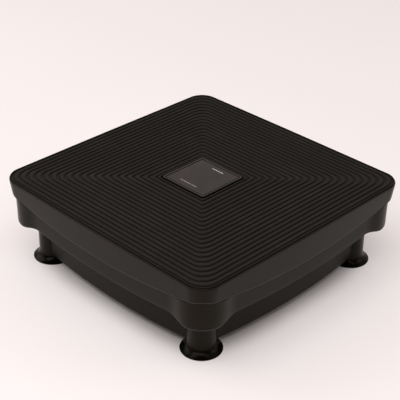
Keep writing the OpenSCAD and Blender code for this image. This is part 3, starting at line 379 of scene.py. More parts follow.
# %% [markdown]
# ## Rings round a rounded square
# Mat, lid, skirt and bezel all follow a square with rounded corners. One function walks round that square and
# another joins a list of such rings into a closed skin. The sides of the real lid bow outwards by a hair
# between the corners, as moulded walls do, so the walk takes a bow. Points crowd towards the corners, where the
# shape changes. A bevelled box could be used, but rings let each edge have its own rounding.

# %% Ring helpers
SIDE_STEPS, ARC_STEPS = 48, 14
SHARP = math.radians(32)           # edges that turn by more than this stay sharp


def arc(degrees):
    """Cosine and sine of each angle."""
    return [(math.cos(math.radians(a)), math.sin(math.radians(a))) for a in degrees]


QUARTER = arc(range(0, 91, 15))


def all_round(quarter):
    """A quarter of an outline, turned to all four sides."""
    points = []
    for _ in range(4):
        points += quarter
        quarter = [(-y, x) for x, y in quarter]
    return points


def walk(half, radius, bow=0.0, dent=None):
    """Points round a rounded square, in millimetres. A dent gives the depth for a distance along a side."""
    flat, depth = half - radius, dent or (lambda s: 0)
    quarter = []
    for j in range(SIDE_STEPS + 1):
        s = math.sin(math.pi / 2 * (2 * j / SIDE_STEPS - 1))
        quarter.append((half + bow * (1 - s * s) ** 2 - depth(abs(flat * s)), flat * s))
    for i in range(1, ARC_STEPS):
        c, s = math.cos(math.pi / 2 * i / ARC_STEPS), math.sin(math.pi / 2 * i / ARC_STEPS)
        r = radius - depth(flat + radius * min(c, s))
        quarter.append((flat + r * c, flat + r * s))
    return all_round(quarter)


def ring(half, radius, height, bow=0.0, dent=None):
    """One ring of a skin. The height is a number, or a function of the distance along a side."""
    level = height if callable(height) else lambda s: height
    return [(x, y, level(min(abs(x), abs(y)))) for x, y in walk(half, radius, bow, dent)]


def skin(name, rings, edge=(), loop=True, caps=False):
    """A mesh through rings; edge lists the rings along rubbed edges, which also carry a painted highlight."""
    n, m = len(rings[0]), len(rings)
    faces = []
    for i in range(m if loop else m - 1):
        k = (i + 1) % m
        faces += [(i * n + j, i * n + (j + 1) % n, k * n + (j + 1) % n, k * n + j) for j in range(n)]
    if caps:
        faces += [tuple(range(n)), tuple(range((m - 1) * n, m * n))]
    mesh = bpy.data.meshes.new(name)
    mesh.from_pydata([tuple(v * MM for v in p) for r in rings for p in r], [], faces)
    worn = mesh.attributes.new("edge", "FLOAT", "POINT")
    worn.data.foreach_set("value", [1.0 if i in edge else 0.0 for i in range(m) for _ in range(n)])
    return outward(mesh)


def outward(mesh):
    """Turns every face outwards and shades the mesh smooth, except across sharp edges."""
    b = bmesh.new()
    b.from_mesh(mesh)
    bmesh.ops.remove_doubles(b, verts=b.verts, dist=1e-6)
    bmesh.ops.recalc_face_normals(b, faces=b.faces)
    b.to_mesh(mesh)
    b.free()
    mesh.shade_smooth()
    mesh.set_sharp_from_angle(angle=SHARP)
    return mesh


def joined(name, *meshes):
    """One mesh from several."""
    b = bmesh.new()
    for mesh in meshes:
        b.from_mesh(mesh)
    whole = bpy.data.meshes.new(name)
    b.to_mesh(whole)
    b.free()
    whole.set_sharp_from_angle(angle=SHARP)
    return whole


def applied(thing, *tools):
    """An object's mesh after its modifiers. The object and the tools that it used are removed."""
    bpy.context.view_layer.update()
    mesh = bpy.data.meshes.new_from_object(thing.evaluated_get(bpy.context.evaluated_depsgraph_get()))
    for done in (*tools, thing):
        bpy.data.objects.remove(done)
    return mesh


def piece(mesh, body, slot, node, finish=None, name=None):
    """Puts a finished mesh on its body, with the slot's finish or its own, in place of a node."""
    mesh.materials.clear()
    mesh.materials.append(FINISHES[finish or slot])
    thing = placed(name or mesh.name, mesh)
    if body:
        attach(thing, body)
    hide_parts(node)
    print(thing.name, len(mesh.polygons), "faces")
    return thing


print("a ring has", len(walk(200, 31)), "points")

# %% [markdown]
# ## The mat's sheet
# The mat is a rubber sheet with ribs. The sheet is one skin of rings: up its undercut edge, over a narrow border,
# down to the groove floor, in to the frame of the display, up over the plateau beside it, and back underneath.

# %% Mat sheet
MAT_LOW = 127.0                    # the mat's underside
PITCH, GROOVE = 7.84, 2.5
FIRST = 195.4                      # half width of the outermost groove, at its middle
RIBS = 19
CORNER, INNER_CORNER = 0.124, 0.06  # corner radius for each millimetre of half width, outermost and innermost
BOW = 0.8                          # outward bow of a side between its corners

border, plateau = FIRST + GROOVE / 2, FIRST - RIBS * PITCH - GROOVE / 2
border_r, plateau_r = border * CORNER, plateau * INNER_CORNER
sheet_rows = [
    # the undercut edge: half width, corner radius, height and bow
    (196.7, 24.4, MAT_LOW, 0.6), (197.9, 25.5, MAT_TOP - 0.5, 0.6), (197.8, 25.4, MAT_TOP - 0.15, 0.6),
    # the border and its step down to the first groove
    (197.5, 25.2, MAT_TOP, 0.5), (border + 0.4, border_r, MAT_TOP, 0.1),
    (border + 0.12, border_r, MAT_TOP - 0.15), (border, border_r, MAT_TOP - 0.5), (border, border_r, FLOOR),
    # the step up to the plateau
    (plateau, plateau_r, FLOOR), (plateau, plateau_r, MAT_TOP - 0.5),
    (plateau - 0.12, plateau_r, MAT_TOP - 0.15), (plateau - 0.5, plateau_r, MAT_TOP),
    # the opening for the display's frame
    (43.1, 4.2, MAT_TOP), (42.8, 4.0, MAT_TOP - 0.3), (42.7, 3.9, MAT_LOW),
]
mat_sheet = skin("mat_sheet", [ring(*row) for row in sheet_rows])
print("sheet:", len(mat_sheet.polygons), "faces")

# %% [markdown]
# ## The mat's ribs
# Nineteen square ribs run round the display, one inside the other. All of them follow one rule: a unit square
# with rounded corners, made larger by the rib's half width. The corners get tighter from rib to rib, so the rule
# mixes two such squares. That suits Geometry Nodes. A small grid holds one rib: its columns go round the square
# and its rows go over the rib's section. Points carry one copy for each rib, and a Set Position node then puts
# each grid point at its place on the rule.

# %% Rib tree
class Tree(Graph):
    """A Geometry Nodes tree with its inputs as wires, found by name."""

    def __init__(self, name, inputs):
        super().__init__(bpy.data.node_groups.new(name, "GeometryNodeTree"))
        face = self.tree.interface
        self.keys = {n: face.new_socket(n, in_out="INPUT", socket_type="NodeSocket" + kind).identifier
                     for n, kind in inputs.items()}
        face.new_socket("Geometry", in_out="OUTPUT", socket_type="NodeSocketGeometry")
        given = self.tree.nodes.new("NodeGroupInput")
        self.given = {s.name: Wire(self, s) for s in given.outputs if s.name}

    def end(self, geometry):
        """Gives the geometry its finish and makes it the result."""
        painted = self.node("GeometryNodeSetMaterial", {},
                            {"Geometry": geometry, "Material": self.given["Finish"]})
        self.tree.links.new(painted.socket, self.tree.nodes.new("NodeGroupOutput").inputs[0])

    def grown(self, name, points=(), **values):
        """Runs the tree on a bare vertex at each place and returns the result as a plain mesh."""
        mesh = bpy.data.meshes.new(name)
        mesh.from_pydata([tuple(v * MM for v in p) for p in points], [], [])
        carrier = placed(name, mesh)
        modifier = carrier.modifiers.new("tree", "NODES")
        modifier.node_group = self.tree
        for key, value in values.items():
            modifier[self.keys[key.replace("_", " ")]] = value
        return applied(carrier)


ROWS, COLUMNS, CORNER_STEPS = 9, 300, 12
SIZES = ("First half width", "Pitch", "Rib width", "Edge radius", "Top", "Foot", "Outer corner", "Inner corner")


def rib_tree():
    g = Tree("square_ribs", {**dict.fromkeys(SIZES, "Float"), "Ribs": "Int", "Finish": "Material"})
    size = g.given

    def store(geometry, name, value, domain="POINT"):
        return g.node("GeometryNodeStoreNamedAttribute", {"data_type": "FLOAT", "domain": domain},
                      {"Geometry": geometry, "Name": name, "Value": value})

    def stored(name):
        return g.node("GeometryNodeInputNamedAttribute", {"data_type": "FLOAT"}, {"Name": name})

    def by_row(*values):
        return g.node("GeometryNodeIndexSwitch", {"data_type": "FLOAT", "items": ROWS},
                      {"Index": stored("row"), **{str(i): v for i, v in enumerate(values)}})

    square = g.node("GeometryNodeCurvePrimitiveQuadrilateral", {"mode": "RECTANGLE"},
                    {"Width": 2.0, "Height": 2.0})

    def on_square(corner):
        path = g.node("GeometryNodeFilletCurve", {"mode": "POLY"},
                      {"Curve": square, "Count": CORNER_STEPS, "Radius": corner})
        return g.node("GeometryNodeSampleCurve", {"mode": "FACTOR", "use_all_curves": True},
                      {"Curves": path, "Factor": stored("column")}, out="Position")

    grid = g.node("GeometryNodeMeshGrid", {}, {"Vertices X": ROWS, "Vertices Y": COLUMNS + 1})
    index = g.node("GeometryNodeInputIndex")
    row = g.math("FLOOR", (index + 0.5) / (COLUMNS + 1))
    grid = store(grid, "row", row)
    grid = store(grid, "column", (index - row * (COLUMNS + 1)) / COLUMNS)
    points = g.node("GeometryNodePoints", {}, {"Count": size["Ribs"]})
    ribs = g.node("GeometryNodeInstanceOnPoints", {}, {"Points": points, "Instance": grid})
    ribs = g.node("GeometryNodeRealizeInstances", {}, {"Geometry": store(ribs, "rib", index, "INSTANCE")})

    r, w, top, foot = size["Edge radius"], size["Rib width"], size["Top"], size["Foot"]
    inward = by_row(0.0, 0.0, r * 0.3, r, w - r, w - r * 0.3, w, w, 0.0)
    height = by_row(foot, top - r, top - r * 0.3, top, top, top - r * 0.3, top - r, foot, foot)
    half = size["First half width"] - stored("rib") * size["Pitch"] - inward
    unit = g.node("ShaderNodeMix", {"data_type": "VECTOR"},
                  {"Factor": stored("rib") / size["Ribs"], "A": on_square(size["Outer corner"]),
                   "B": on_square(size["Inner corner"])})
    scaled = g.node("ShaderNodeVectorMath", {"operation": "SCALE"}, {"Vector": unit, "Scale": half})
    lift = g.node("ShaderNodeCombineXYZ", {}, {"Z": height})
    place = g.node("ShaderNodeVectorMath", {"operation": "ADD"}, {0: scaled, 1: lift})
    ribs = g.node("GeometryNodeSetPosition", {}, {"Geometry": ribs, "Position": place})
    g.end(g.node("GeometryNodeMergeByDistance", {}, {"Geometry": ribs, "Distance": 1e-6}))
    return g


ribs = rib_tree().grown("mat_ribs", First_half_width=(FIRST - GROOVE / 2) * MM, Pitch=PITCH * MM,
                        Rib_width=(PITCH - GROOVE) * MM, Edge_radius=2.0 * MM, Top=MAT_TOP * MM,
                        Foot=(FLOOR - 0.2) * MM, Outer_corner=CORNER, Inner_corner=INNER_CORNER, Ribs=RIBS,
                        Finish=FINISHES["mat_rubber"])
piece(joined("ribbed_mat", mat_sheet, outward(ribs)), "platform", "mat_rubber", "top_mat")

# %% [markdown]
# ## The lid
# The lid is one moulded tray turned upside down. Its side leans in a little towards the rim, and the rim's lower
# edge is a shallow arc along each side. The upper edge rolls over into the lip that holds the mat. The lip ends
# just below the mat's top, and a narrow dark gap between the two shows where one stops and the other starts.
# One closed skin of rings makes the lid: the rolled lip and the rounded rim are a few rings each, so they catch
# light as the real edges do.

# %% Lid
HALF, LID_R, DRAFT, RIM_ROUND = 199.8, 28.2, 2.9, 1.8
RIM_MID, RIM_ARC = 86.6, 900.0
LIP_IN, LIP_TOP, LIP_H = 198.85, 130.3, 2.4
CEILING = 123.5                    # the lid's underside


def rim(lift):
    """Height of the lid's rim along a side, plus a lift."""
    return lambda s: RIM_MID + RIM_ARC - math.sqrt(RIM_ARC ** 2 - s * s) + lift


def lid_rows():
    foot, lip_r = HALF - DRAFT, LID_R - 1.1
    rows = [(24, 2, CEILING), (192, 24, CEILING), (195.6, 26.6, 123.0), (196.6, 27.6, 121),
            (foot - 2.6, 24.1, rim(0.5), BOW), (foot - 2.2, 24.4, rim(0), BOW)]
    for c, s in arc((0, 30, 60, 90)):
        inset = DRAFT + RIM_ROUND * (1 - s)
        rows.append((HALF - inset, LID_R - inset, rim(RIM_ROUND * (1 - c)), BOW))
    rows += [(foot + 0.1, LID_R - DRAFT + 0.1, rim(RIM_ROUND + 1), BOW),
             (HALF - 0.2, LID_R - 0.2, LIP_TOP - LIP_H - 2.4, BOW)]
    for c, s in QUARTER:
        inset = (HALF - LIP_IN - 0.05) * (1 - c)
        rows.append((HALF - inset, LID_R - inset, LIP_TOP - LIP_H * (1 - s), BOW * (1 - 0.35 * s)))
    return rows + [(LIP_IN, lip_r, LIP_TOP - 0.3, 0.7), (LIP_IN, lip_r, MAT_LOW, 0.7), (24.4, 2.4, MAT_LOW),
                   (24, 2, MAT_LOW - 0.4)]


# Rings 6 to 8 round the rim's lower edge carry the paler edge tone, a painted highlight along the rim.
lid_mesh = skin("lid_shell", [ring(*row) for row in lid_rows()], edge=(6, 7, 8))
piece(lid_mesh, "platform", "shell_plastic", "top_lid")

# %% [markdown]
# ## The skirt
# Below the rim hangs the skirt. Its corners are rounder than the lid's, so a narrow ledge closes the gap under
# the rim there. Its sides lie a few millimetres behind the corner pillars, and a long soft step leads out to
# them, which catches an upright light. The bottom edge is a shallow arc between the corners and sweeps down to
# the pillars beside that step. The walls lean in a little towards the bottom, as moulded walls do, so that the
# piece leaves its mould.

# %% Skirt
SKIRT, SKIRT_R, LEAN, WALL = 196.6, 35.0, 0.5, 2.4
SKIRT_BOW = BOW * 0.6
EDGE_MID, EDGE_ARC, PILLAR_Z, SWEEP_IN, SWEEP_OUT = 59.8, 1160.0, 59.0, 128.0, 166.0
DENT, STEP_IN, STEP_OUT = 3.2, 134.0, 160.0
ROUND, PILLAR_ROUND = 1.8, 5.5     # rounding of the bottom edge, along a side and at a pillar
NECK, NECK_IN, NECK_R = 193.8, 191.6, 25.4          # the neck that stands inside the lid's rim
FLANGE, FLANGE_R, FLANGE_LOW, FLANGE_TOP = 186.7, 22.7, 115, 118


def ease(t):
    t = min(max(t, 0.0), 1.0)
    return t * t * (3 - 2 * t)


def hem(lift):
    """Height of the skirt's bottom edge along a side, plus a lift."""
    def level(s):
        curve = EDGE_MID + EDGE_ARC - math.sqrt(EDGE_ARC ** 2 - s * s)
        return curve + (PILLAR_Z - curve) * ease((s - SWEEP_IN) / (SWEEP_OUT - SWEEP_IN)) + lift
    return level


def pillar(s):
    """0 along a side and 1 at its ends, where the pillars are."""
    return ease((s - STEP_IN) / (STEP_OUT - STEP_IN))


def step_back(s):
    """Depth of the skirt's side behind its pillars."""
    return DENT * (1 - pillar(s))


def rounding(s):
    return ROUND + (PILLAR_ROUND - ROUND) * pillar(s)


def round_ring(c, s):
    """One ring of the rounded bottom edge, from straight below to level with the side."""
    return ring(SKIRT - LEAN, SKIRT_R, lambda t: hem(0)(t) + rounding(t) * (1 - c), SKIRT_BOW,
                lambda t: step_back(t) + rounding(t) * (1 - s))


def inner_edge(s):
    """Depth of the wall's inner bottom edge, always behind the rounding."""
    return step_back(s) + max(rounding(s) + 0.8, WALL)


skirt_rings = [round_ring(c, s) for c, s in QUARTER]
skirt_rings += [ring(*row) for row in (
    *((SKIRT - LEAN * k, SKIRT_R, rim(-1.2 - 22 * k), SKIRT_BOW, step_back) for k in (0.8, 0.4, 0)),
    (SKIRT - 0.5, SKIRT_R - 0.5, rim(-0.7), SKIRT_BOW, step_back), (195.8, 30, rim(-0.4)),
    (NECK, NECK_R, rim(-0.3)), (NECK, NECK_R, FLANGE_TOP), (FLANGE, FLANGE_R, FLANGE_TOP),
    (FLANGE, FLANGE_R, FLANGE_LOW), (NECK_IN, NECK_R, FLANGE_LOW), (NECK_IN, NECK_R, rim(2)),
    (SKIRT - WALL, SKIRT_R - WALL, rim(-3), 0, step_back), (SKIRT - LEAN, SKIRT_R, hem(0), 0, inner_edge))]
# The bottom edge's rings carry the paler edge tone, partly wear and partly a painted highlight.
skirt_shell = skin("skirt_shell", skirt_rings, edge=(0, 1, 2, 3))
print("skirt:", len(skirt_shell.polygons), "faces")

# %% [markdown]
# ## Pillar floors
# Each pillar is closed below by a floor with a round hole for its leg, and a low wall stands round that floor
# inside. Seen from the leg's axis the floor's outline is a distance for each direction, so the script walks out
# along each direction until it leaves the boss or the skirt. Where the floor reaches the skirt it bends up with
# the skirt's bottom edge.

# %% Pillar floors
LEG_C, BOSS_R, HOLE_R = 152.5, 29.0, 22.6
FLOOR_T, KERB_H, KERB_T = 2.5, 2.5, 3    # the floor, and the low wall round it
BREAK = 0.4                        # how far edges are broken
ROOF = 67.8                        # the chassis is just above this when the platform is up
CORNERS = {"front_left": (-1, -1), "front_right": (1, -1), "back_left": (-1, 1), "back_right": (1, 1)}


def in_square(x, y, half, radius):
    dx, dy = max(abs(x) - half + radius, 0), max(abs(y) - half + radius, 0)
    return math.hypot(dx, dy) <= radius


def in_boss(x, y, inset):
    return math.hypot(x, y) <= BOSS_R - inset or min(x, y) >= inset - 9


def in_skirt(x, y, inset):
    inset += inner_edge(min(x, y)) - 0.5
    return in_square(x, y, SKIRT - LEAN - inset, SKIRT_R - inset)


def outline(inset, steps=180, stride=0.1):
    """Directions and distances of a pillar floor's outline from its leg's axis."""
    points = []
    for i in range(steps):
        a = 2 * math.pi * (i + 0.5) / steps
        reach = BOSS_R - inset
        while True:
            x, y = (reach + stride) * math.cos(a), (reach + stride) * math.sin(a)
            if not (in_boss(x, y, inset) and in_skirt(LEG_C + x, LEG_C + y, inset)):
                break
            reach += stride
        points.append((a, reach))
    return points


def pillar_floor(name, sx, sy):
    def at(points, z, r=None):
        places = []
        for a, d in points:
            x, y = LEG_C + (r or d) * math.cos(a), LEG_C + (r or d) * math.sin(a)
            bend = 0 if r else ease((d - BOSS_R + 1) / 5) * (hem(0.3)(min(x, y)) - PILLAR_Z)
            places.append((sx * x, sy * y, min(z + bend, ROOF)))
        return places
    out, broken, near = outline(0), outline(BREAK), outline(KERB_T)
    z, top, kerb = PILLAR_Z, PILLAR_Z + FLOOR_T, PILLAR_Z + FLOOR_T + KERB_H
    rings = [at(out, z + BREAK), at(broken, z), at(out, z, HOLE_R + BREAK), at(out, z + BREAK, HOLE_R),
             at(out, top - BREAK, HOLE_R), at(out, top, HOLE_R + BREAK), at(near, top), at(near, kerb - 0.2),
             at(outline(KERB_T - BREAK), kerb), at(broken, kerb), at(out, kerb - BREAK)]
    return skin(name, rings, edge=(1, 2))


floors = [pillar_floor("pillar_" + name, *way) for name, way in CORNERS.items()]
piece(joined("skirt_with_pillars", skirt_shell, *floors), "platform", "shell_plastic", "skirt")

# %% [markdown]
# ## Turned pieces
# Legs, cups and isolators are round about an upright axis. Each is a section, drawn as a list of radius and
# height, that goes once round. The sections keep their real walls and hollows, and a helper rounds their corners,
# because a moulded rubber edge is never sharp.

# %% Lathe helpers
LEG_R, LEG_BORE, LEG_TOP = 19.4, 15, 71
CUP_TOP, HOLLOW_R, HOLLOW_H = 8.4, 25.0, 4.2
PLUG_R, PLUG_TOP = 14.9, 21.4
WAIST_R, WAIST_LOW, WAIST_H = 17, 88.8, 28.9


def circle(steps):
    return [(math.cos(2 * math.pi * i / steps), math.sin(2 * math.pi * i / steps)) for i in range(steps)]


def rounded(section, radius, steps=4):
    """Rounds the inner corners of an open section by a radius, or less where there is no room."""
    points = [Vector(p) for p in section]
    path = [points[0]]
    for before, here, after in zip(points, points[1:], points[2:]):
        a, b = before - here, after - here
        cut = min(radius, 0.45 * a.length, 0.45 * b.length)
        start, end = here + a.normalized() * cut, here + b.normalized() * cut
        for i in range(steps + 1):
            t = i / steps
            path.append(start * (1 - t) ** 2 + here * 2 * t * (1 - t) + end * t * t)
    return [tuple(p) for p in path + [points[-1]]]


def lathe(name, section, centre, steps=96):
    """Turns a section about an upright axis. Ends on the axis close to a point."""
    rings = [[(centre[0] + max(r, 1e-4) * c, centre[1] + max(r, 1e-4) * s, z) for c, s in circle(steps)]
             for r, z in section]
    return skin(name, rings, loop=section[0][0] > 0.01)


def cup_section():
    """Flared rubber bell with a thin lip, hollow below, and the plug that sits in the leg."""
    flare = [(LEG_R + 9.1 * (1 - t / 12) ** 1.6, 1.3 + 7.1 * t / 12) for t in range(13)]
    dome = [(HOLLOW_R * math.cos(math.pi / 2 * t / 12), HOLLOW_H * math.sin(math.pi / 2 * t / 12))
            for t in range(12)]
    outer = rounded([(HOLLOW_R, 0), (28.2, 0), (28.5, 0.4), flare[0]], 0.3)[1:] + flare[1:-1]
    plug = rounded([flare[-2], (LEG_R, CUP_TOP), (PLUG_R, CUP_TOP), (PLUG_R, PLUG_TOP), (0, PLUG_TOP)], 0.4)
    return [(0, HOLLOW_H)] + dome[:0:-1] + [(HOLLOW_R, 0.0)] + outer + plug[1:]


def leg_section():
    """A post with a collar, hollow below, and a hole for its bolt at the top."""
    return rounded([(LEG_BORE, 40), (LEG_BORE, CUP_TOP), (LEG_R, CUP_TOP), (LEG_R, 53.8), (20.4, 53.8),
                    (20.4, 56), (LEG_R, 56), (LEG_R, LEG_TOP), (4.1, LEG_TOP), (4.1, 60), (LEG_BORE, 60),
                    (LEG_BORE, 40.2)], 0.45)


def waist_section():
    """A rubber block, drawn in at its middle."""
    swell = [math.sin(math.pi * t / 16) for t in range(17)]
    side = [(WAIST_R - 2.4 * s ** 2 + 0.5 * s ** 8, WAIST_LOW + WAIST_H * t / 16) for t, s in enumerate(swell)]
    return [(0, WAIST_LOW)] + side + [(0, WAIST_LOW + WAIST_H)]


for name, (sx, sy) in CORNERS.items():
    centre = (sx * LEG_C, sy * LEG_C)
    piece(lathe("flared_cup_" + name, cup_section(), centre), "base", "cup_rubber", "suction_cup_" + name)
    piece(lathe("leg_post_" + name, leg_section(), centre), "base", "shell_plastic", "leg_" + name)
    waist = piece(lathe("waisted_rubber_" + name, waist_section(), centre, 48), None, "cup_rubber",
                  "isolator_" + name, "isolator_rubber")
    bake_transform(waist)

# %% [markdown]
# ## The display frame and lens
# The frame round the display stands a little above the mat, with a rolled top edge. The lens lies in it almost
# flush, its own edge broken so that it draws a thin bright line. Both are skins of rings.

# %% Display frame and lens
FRAME, FRAME_TOP, ROLL = 40, 132.9, 0.6
LENS, LENS_LOW, LENS_TOP = 36.4, 130.7, 132.3
SEAT = LENS_LOW - 0.6              # the lens lies a little above this
frame_rows = [(24, 2, MAT_LOW), (FRAME, 3, MAT_LOW)]
frame_rows += [(FRAME - ROLL * (1 - c), 3 - ROLL * (1 - c) * 0.9, FRAME_TOP - ROLL * (1 - s))
               for c, s in QUARTER]
frame_rows += [(37.8, 2.3, FRAME_TOP), (37.5, 2, FRAME_TOP - 0.3), (37.5, 2, SEAT), (24, 2, SEAT)]
lens_rows = [(35.4, 1.2, LENS_LOW), (LENS, 1.5, LENS_LOW), (LENS, 1.5, 132), (36.3, 1.4, 132.2),
             (36.1, 1.3, LENS_TOP), (35.4, 1.2, LENS_TOP)]
display_frame = skin("display_frame", [ring(*row) for row in frame_rows])
piece(display_frame, "platform", "bezel_plastic", "display_bezel")
display_pane = skin("display_pane", [ring(*row) for row in lens_rows], loop=False, caps=True)
piece(display_pane, "platform", "smoked_lens", "display_lens")

# %% [markdown]
# ## The pan
# The belly is a tray with bowed sides. Low down its corners reach the legs, and higher up they are scooped out,
# so that the pillars can move. Both outlines follow one rule: a bowed side up to a circle round the leg, then
# along that circle to the next side. Four blocks follow the rule, two to add and two to take away.

# %% Pan blocks
PAN, PAN_BOW, PAN_LOW, PAN_TOP, SHELF = 176.0, 980.0, 11.0, 71.0, 53.5
PAN_T, PAN_ROUND = 3, 5
PAN_FLOOR = PAN_LOW + PAN_T
LEG_HOLE, SCOOP = 19.7, 35.0


def belly(inset, hole, z):
    """One ring of the pan: bowed sides moved in, and a circle round each leg."""
    def bow(s):
        return PAN - PAN_BOW + math.sqrt((PAN_BOW - inset) ** 2 - s * s)
    low, high = 60.0, 152.0
    for _ in range(40):
        end = (low + high) / 2
        low, high = (end, high) if math.hypot(bow(end) - LEG_C, end - LEG_C) > hole else (low, end)
    start = math.atan2(end - LEG_C, bow(end) - LEG_C)
    quarter = [(bow(s), s) for s in np.linspace(-end, end, 61)]
    quarter += [(LEG_C + hole * math.cos(a), LEG_C + hole * math.sin(a))
                for a in np.linspace(start, -1.5 * math.pi - start, 41)[1:-1]]
    return [(x, y, z) for x, y in all_round(quarter)]


tub = [belly(6, LEG_HOLE + 0.5, PAN_LOW), belly(PAN_ROUND, LEG_HOLE + 0.3, PAN_LOW)]
tub += [belly(PAN_ROUND * (1 - s), LEG_HOLE, PAN_LOW + PAN_ROUND * (1 - c)) for c, s in QUARTER[1:]]
tub += [belly(0, LEG_HOLE, SHELF - 0.5), belly(0.5, LEG_HOLE + 0.5, SHELF)]
wall = [belly(0.02, SCOOP, SHELF - 6), belly(0.02, SCOOP, PAN_TOP - 0.4), belly(0.4, SCOOP + 0.4, PAN_TOP)]
tub_hollow = [belly(PAN_T, LEG_HOLE + PAN_T, z) for z in (PAN_FLOOR, SHELF - PAN_T)]
wall_hollow = [belly(PAN_T, SCOOP + PAN_T, z) for z in (PAN_FLOOR + 0.002, PAN_TOP + 4)]
pan_blocks = [skin(name, rings, edge=worn, loop=False, caps=True) for name, rings, worn in
              (("pan_tub", tub, (2, 3, 4, 5)), ("pan_wall", wall, ()), ("tub_hollow", tub_hollow, ()),
               ("wall_hollow", wall_hollow, ()))]
print("pan blocks:", [len(m.polygons) for m in pan_blocks])

# %% [markdown]
# ## Copies on points
# Screws and vent slots repeat. A short tree puts a copy of one template on each vertex of a carrier, turned the
# same way, and makes the copies real. The template is an object that the tree reads and that is then removed.

# %% Copy tree and templates
copy_tree = Tree("copies_on_points", {"Geometry": "Geometry", "Template": "Object", "Turn": "Rotation",
                                      "Finish": "Material"})
given = copy_tree.given
shape = copy_tree.node("GeometryNodeObjectInfo", {}, {"Object": given["Template"]}, out="Geometry")
on_points = copy_tree.node("GeometryNodeInstanceOnPoints", {},
                           {"Points": given["Geometry"], "Instance": shape, "Rotation": given["Turn"]})
copy_tree.end(copy_tree.node("GeometryNodeRealizeInstances", {}, {"Geometry": on_points}))


def copies(name, template, places, finish, turn=(0, 0, 0)):
    """A mesh with the template at each place, in millimetres."""
    model = placed("template", template)
    mesh = copy_tree.grown(name, places, Template=model, Turn=turn, Finish=FINISHES[finish])
    bpy.data.objects.remove(model)
    mesh.name = name
    return mesh


def prism(plan, low, high):
    return skin("prism", [[(x, y, z) for x, y in plan] for z in (low, high)], loop=False, caps=True)


def slot_plan(length, width, steps=10):
    """A straight slot with round ends."""
    plan = []
    for side in (1, -1):
        for i in range(steps + 1):
            a = math.pi * i / steps - math.pi / 2
            plan.append((side * ((length - width) / 2 + width / 2 * math.cos(a)), side * width / 2 * math.sin(a)))
    return plan


def round_plan(r):
    return [(r * c, r * s) for c, s in circle(40)]


print("copy tree:", len(copy_tree.tree.nodes), "nodes")

# %% [markdown]
# ## Cutting the pan
# A Boolean modifier takes the cutters out of the blank. The bosses for the screws and the posts for the control
# board are turned pieces that stand in the floor, so they need no cutting at all.

# %% Pan with its openings
SIDE_SCREW, CORNER_SCREW = 167.5, 122.8
SCREW_HOLE, HEAD_HOLE, POST_HOLE = 1.85, 3.8, 1.35
pan_screw_at = [(SIDE_SCREW, 0), (0, SIDE_SCREW), (-SIDE_SCREW, 0), (0, -SIDE_SCREW)]
pan_screw_at += [(sx * CORNER_SCREW, sy * CORNER_SCREW) for sx, sy in CORNERS.values()]
bay_screw_at = [(-60 + s * 92 * 0.39, 167) for s in (-1, 1)]
post_at = [(62 + sx * 43, 108 + sy * 26) for sx, sy in CORNERS.values()]
vent_at = [(s * 48.4, (k - 3) * 10) for s in (-1, 1) for k in range(7)]


def cut(mesh, added, cutters):
    """The mesh with the added blocks, less the cutters."""
    blank, tools = placed("blank", mesh), []
    for block in added + cutters:
        tools.append(placed("block", block))
        modifier = blank.modifiers.new("cut", "BOOLEAN")
        modifier.object = tools[-1]
        modifier.solver = "EXACT"
        modifier.operation = "UNION" if block in added else "DIFFERENCE"
    return applied(blank, *tools)


cutters = [copies(name, prism(plan, PAN_LOW - 2, PAN_FLOOR + 2), [(x, y, 0) for x, y in places], "pan_plastic")
           for name, plan, places in (("vents", slot_plan(44, 4), vent_at),
                                      ("bores", round_plan(HEAD_HOLE), pan_screw_at),
                                      ("small_bores", round_plan(SCREW_HOLE), bay_screw_at))]
window = prism([(-108.8, 161.7), (-11.2, 161.7), (-11.2, 190), (-108.8, 190)], PAN_FLOOR + 0.001, 64.8)
pan_cut = cut(pan_blocks[0], pan_blocks[1:2], pan_blocks[2:] + cutters + [window])
print("pan cut out:", len(pan_cut.polygons), "faces")
boss = rounded([(HEAD_HOLE, 40), (HEAD_HOLE, 12), (6, 12), (6, 71), (SCREW_HOLE, 71), (SCREW_HOLE, 62),
                (HEAD_HOLE, 62), (HEAD_HOLE, 40.2)], 0.2)
post = rounded([(POST_HOLE, 17), (POST_HOLE, 13), (3.6, 13), (3.6, 22), (POST_HOLE, 22), (POST_HOLE, 17.2)], 0.2)
stands = [lathe("boss", boss, at, 40) for at in pan_screw_at] + [lathe("post", post, at, 32) for at in post_at]
piece(joined("belly_pan", pan_cut, *stands), "base", "pan_plastic", "base_pan")

# %% [markdown]
# ## Screws
# The screws under the pan and beside the inlet are pan heads with a hexagon socket. One head is drawn with a
# domed rim and a six-sided recess, and the copy tree sets it wherever a screw sits.

# %% Screw heads
def screw(shank_r, length, head_r, head_h, steps=36):
    """A screw that points up from z = 0, with its head below."""
    angles = [2 * math.pi * i / steps for i in range(steps)]
    six = [math.cos(math.pi / 6) / math.cos((a + math.pi / 6) % (math.pi / 3) - math.pi / 6) for a in angles]
    plain = [1] * steps

    def at(r, z, shape=plain):
        return [(r * k * math.cos(a), r * k * math.sin(a), z) for k, a in zip(shape, angles)]
    key = head_r * 0.55
    rings = [at(1e-4, -0.45 * head_h), at(key * 0.96, -0.45 * head_h, six), at(key, -0.97 * head_h, six),
             at(key * 1.06, -head_h, six), at(head_r * 0.8, -head_h), at(head_r * 0.94, -0.9 * head_h),
             at(head_r, -0.7 * head_h), at(head_r, -0.05), at(head_r - 0.05, 0), at(shank_r, 0),
             at(shank_r, length - 0.5), at(shank_r * 0.7, length), at(1e-4, length)]
    return skin("screw", rings, edge=(4, 5, 6), loop=False)


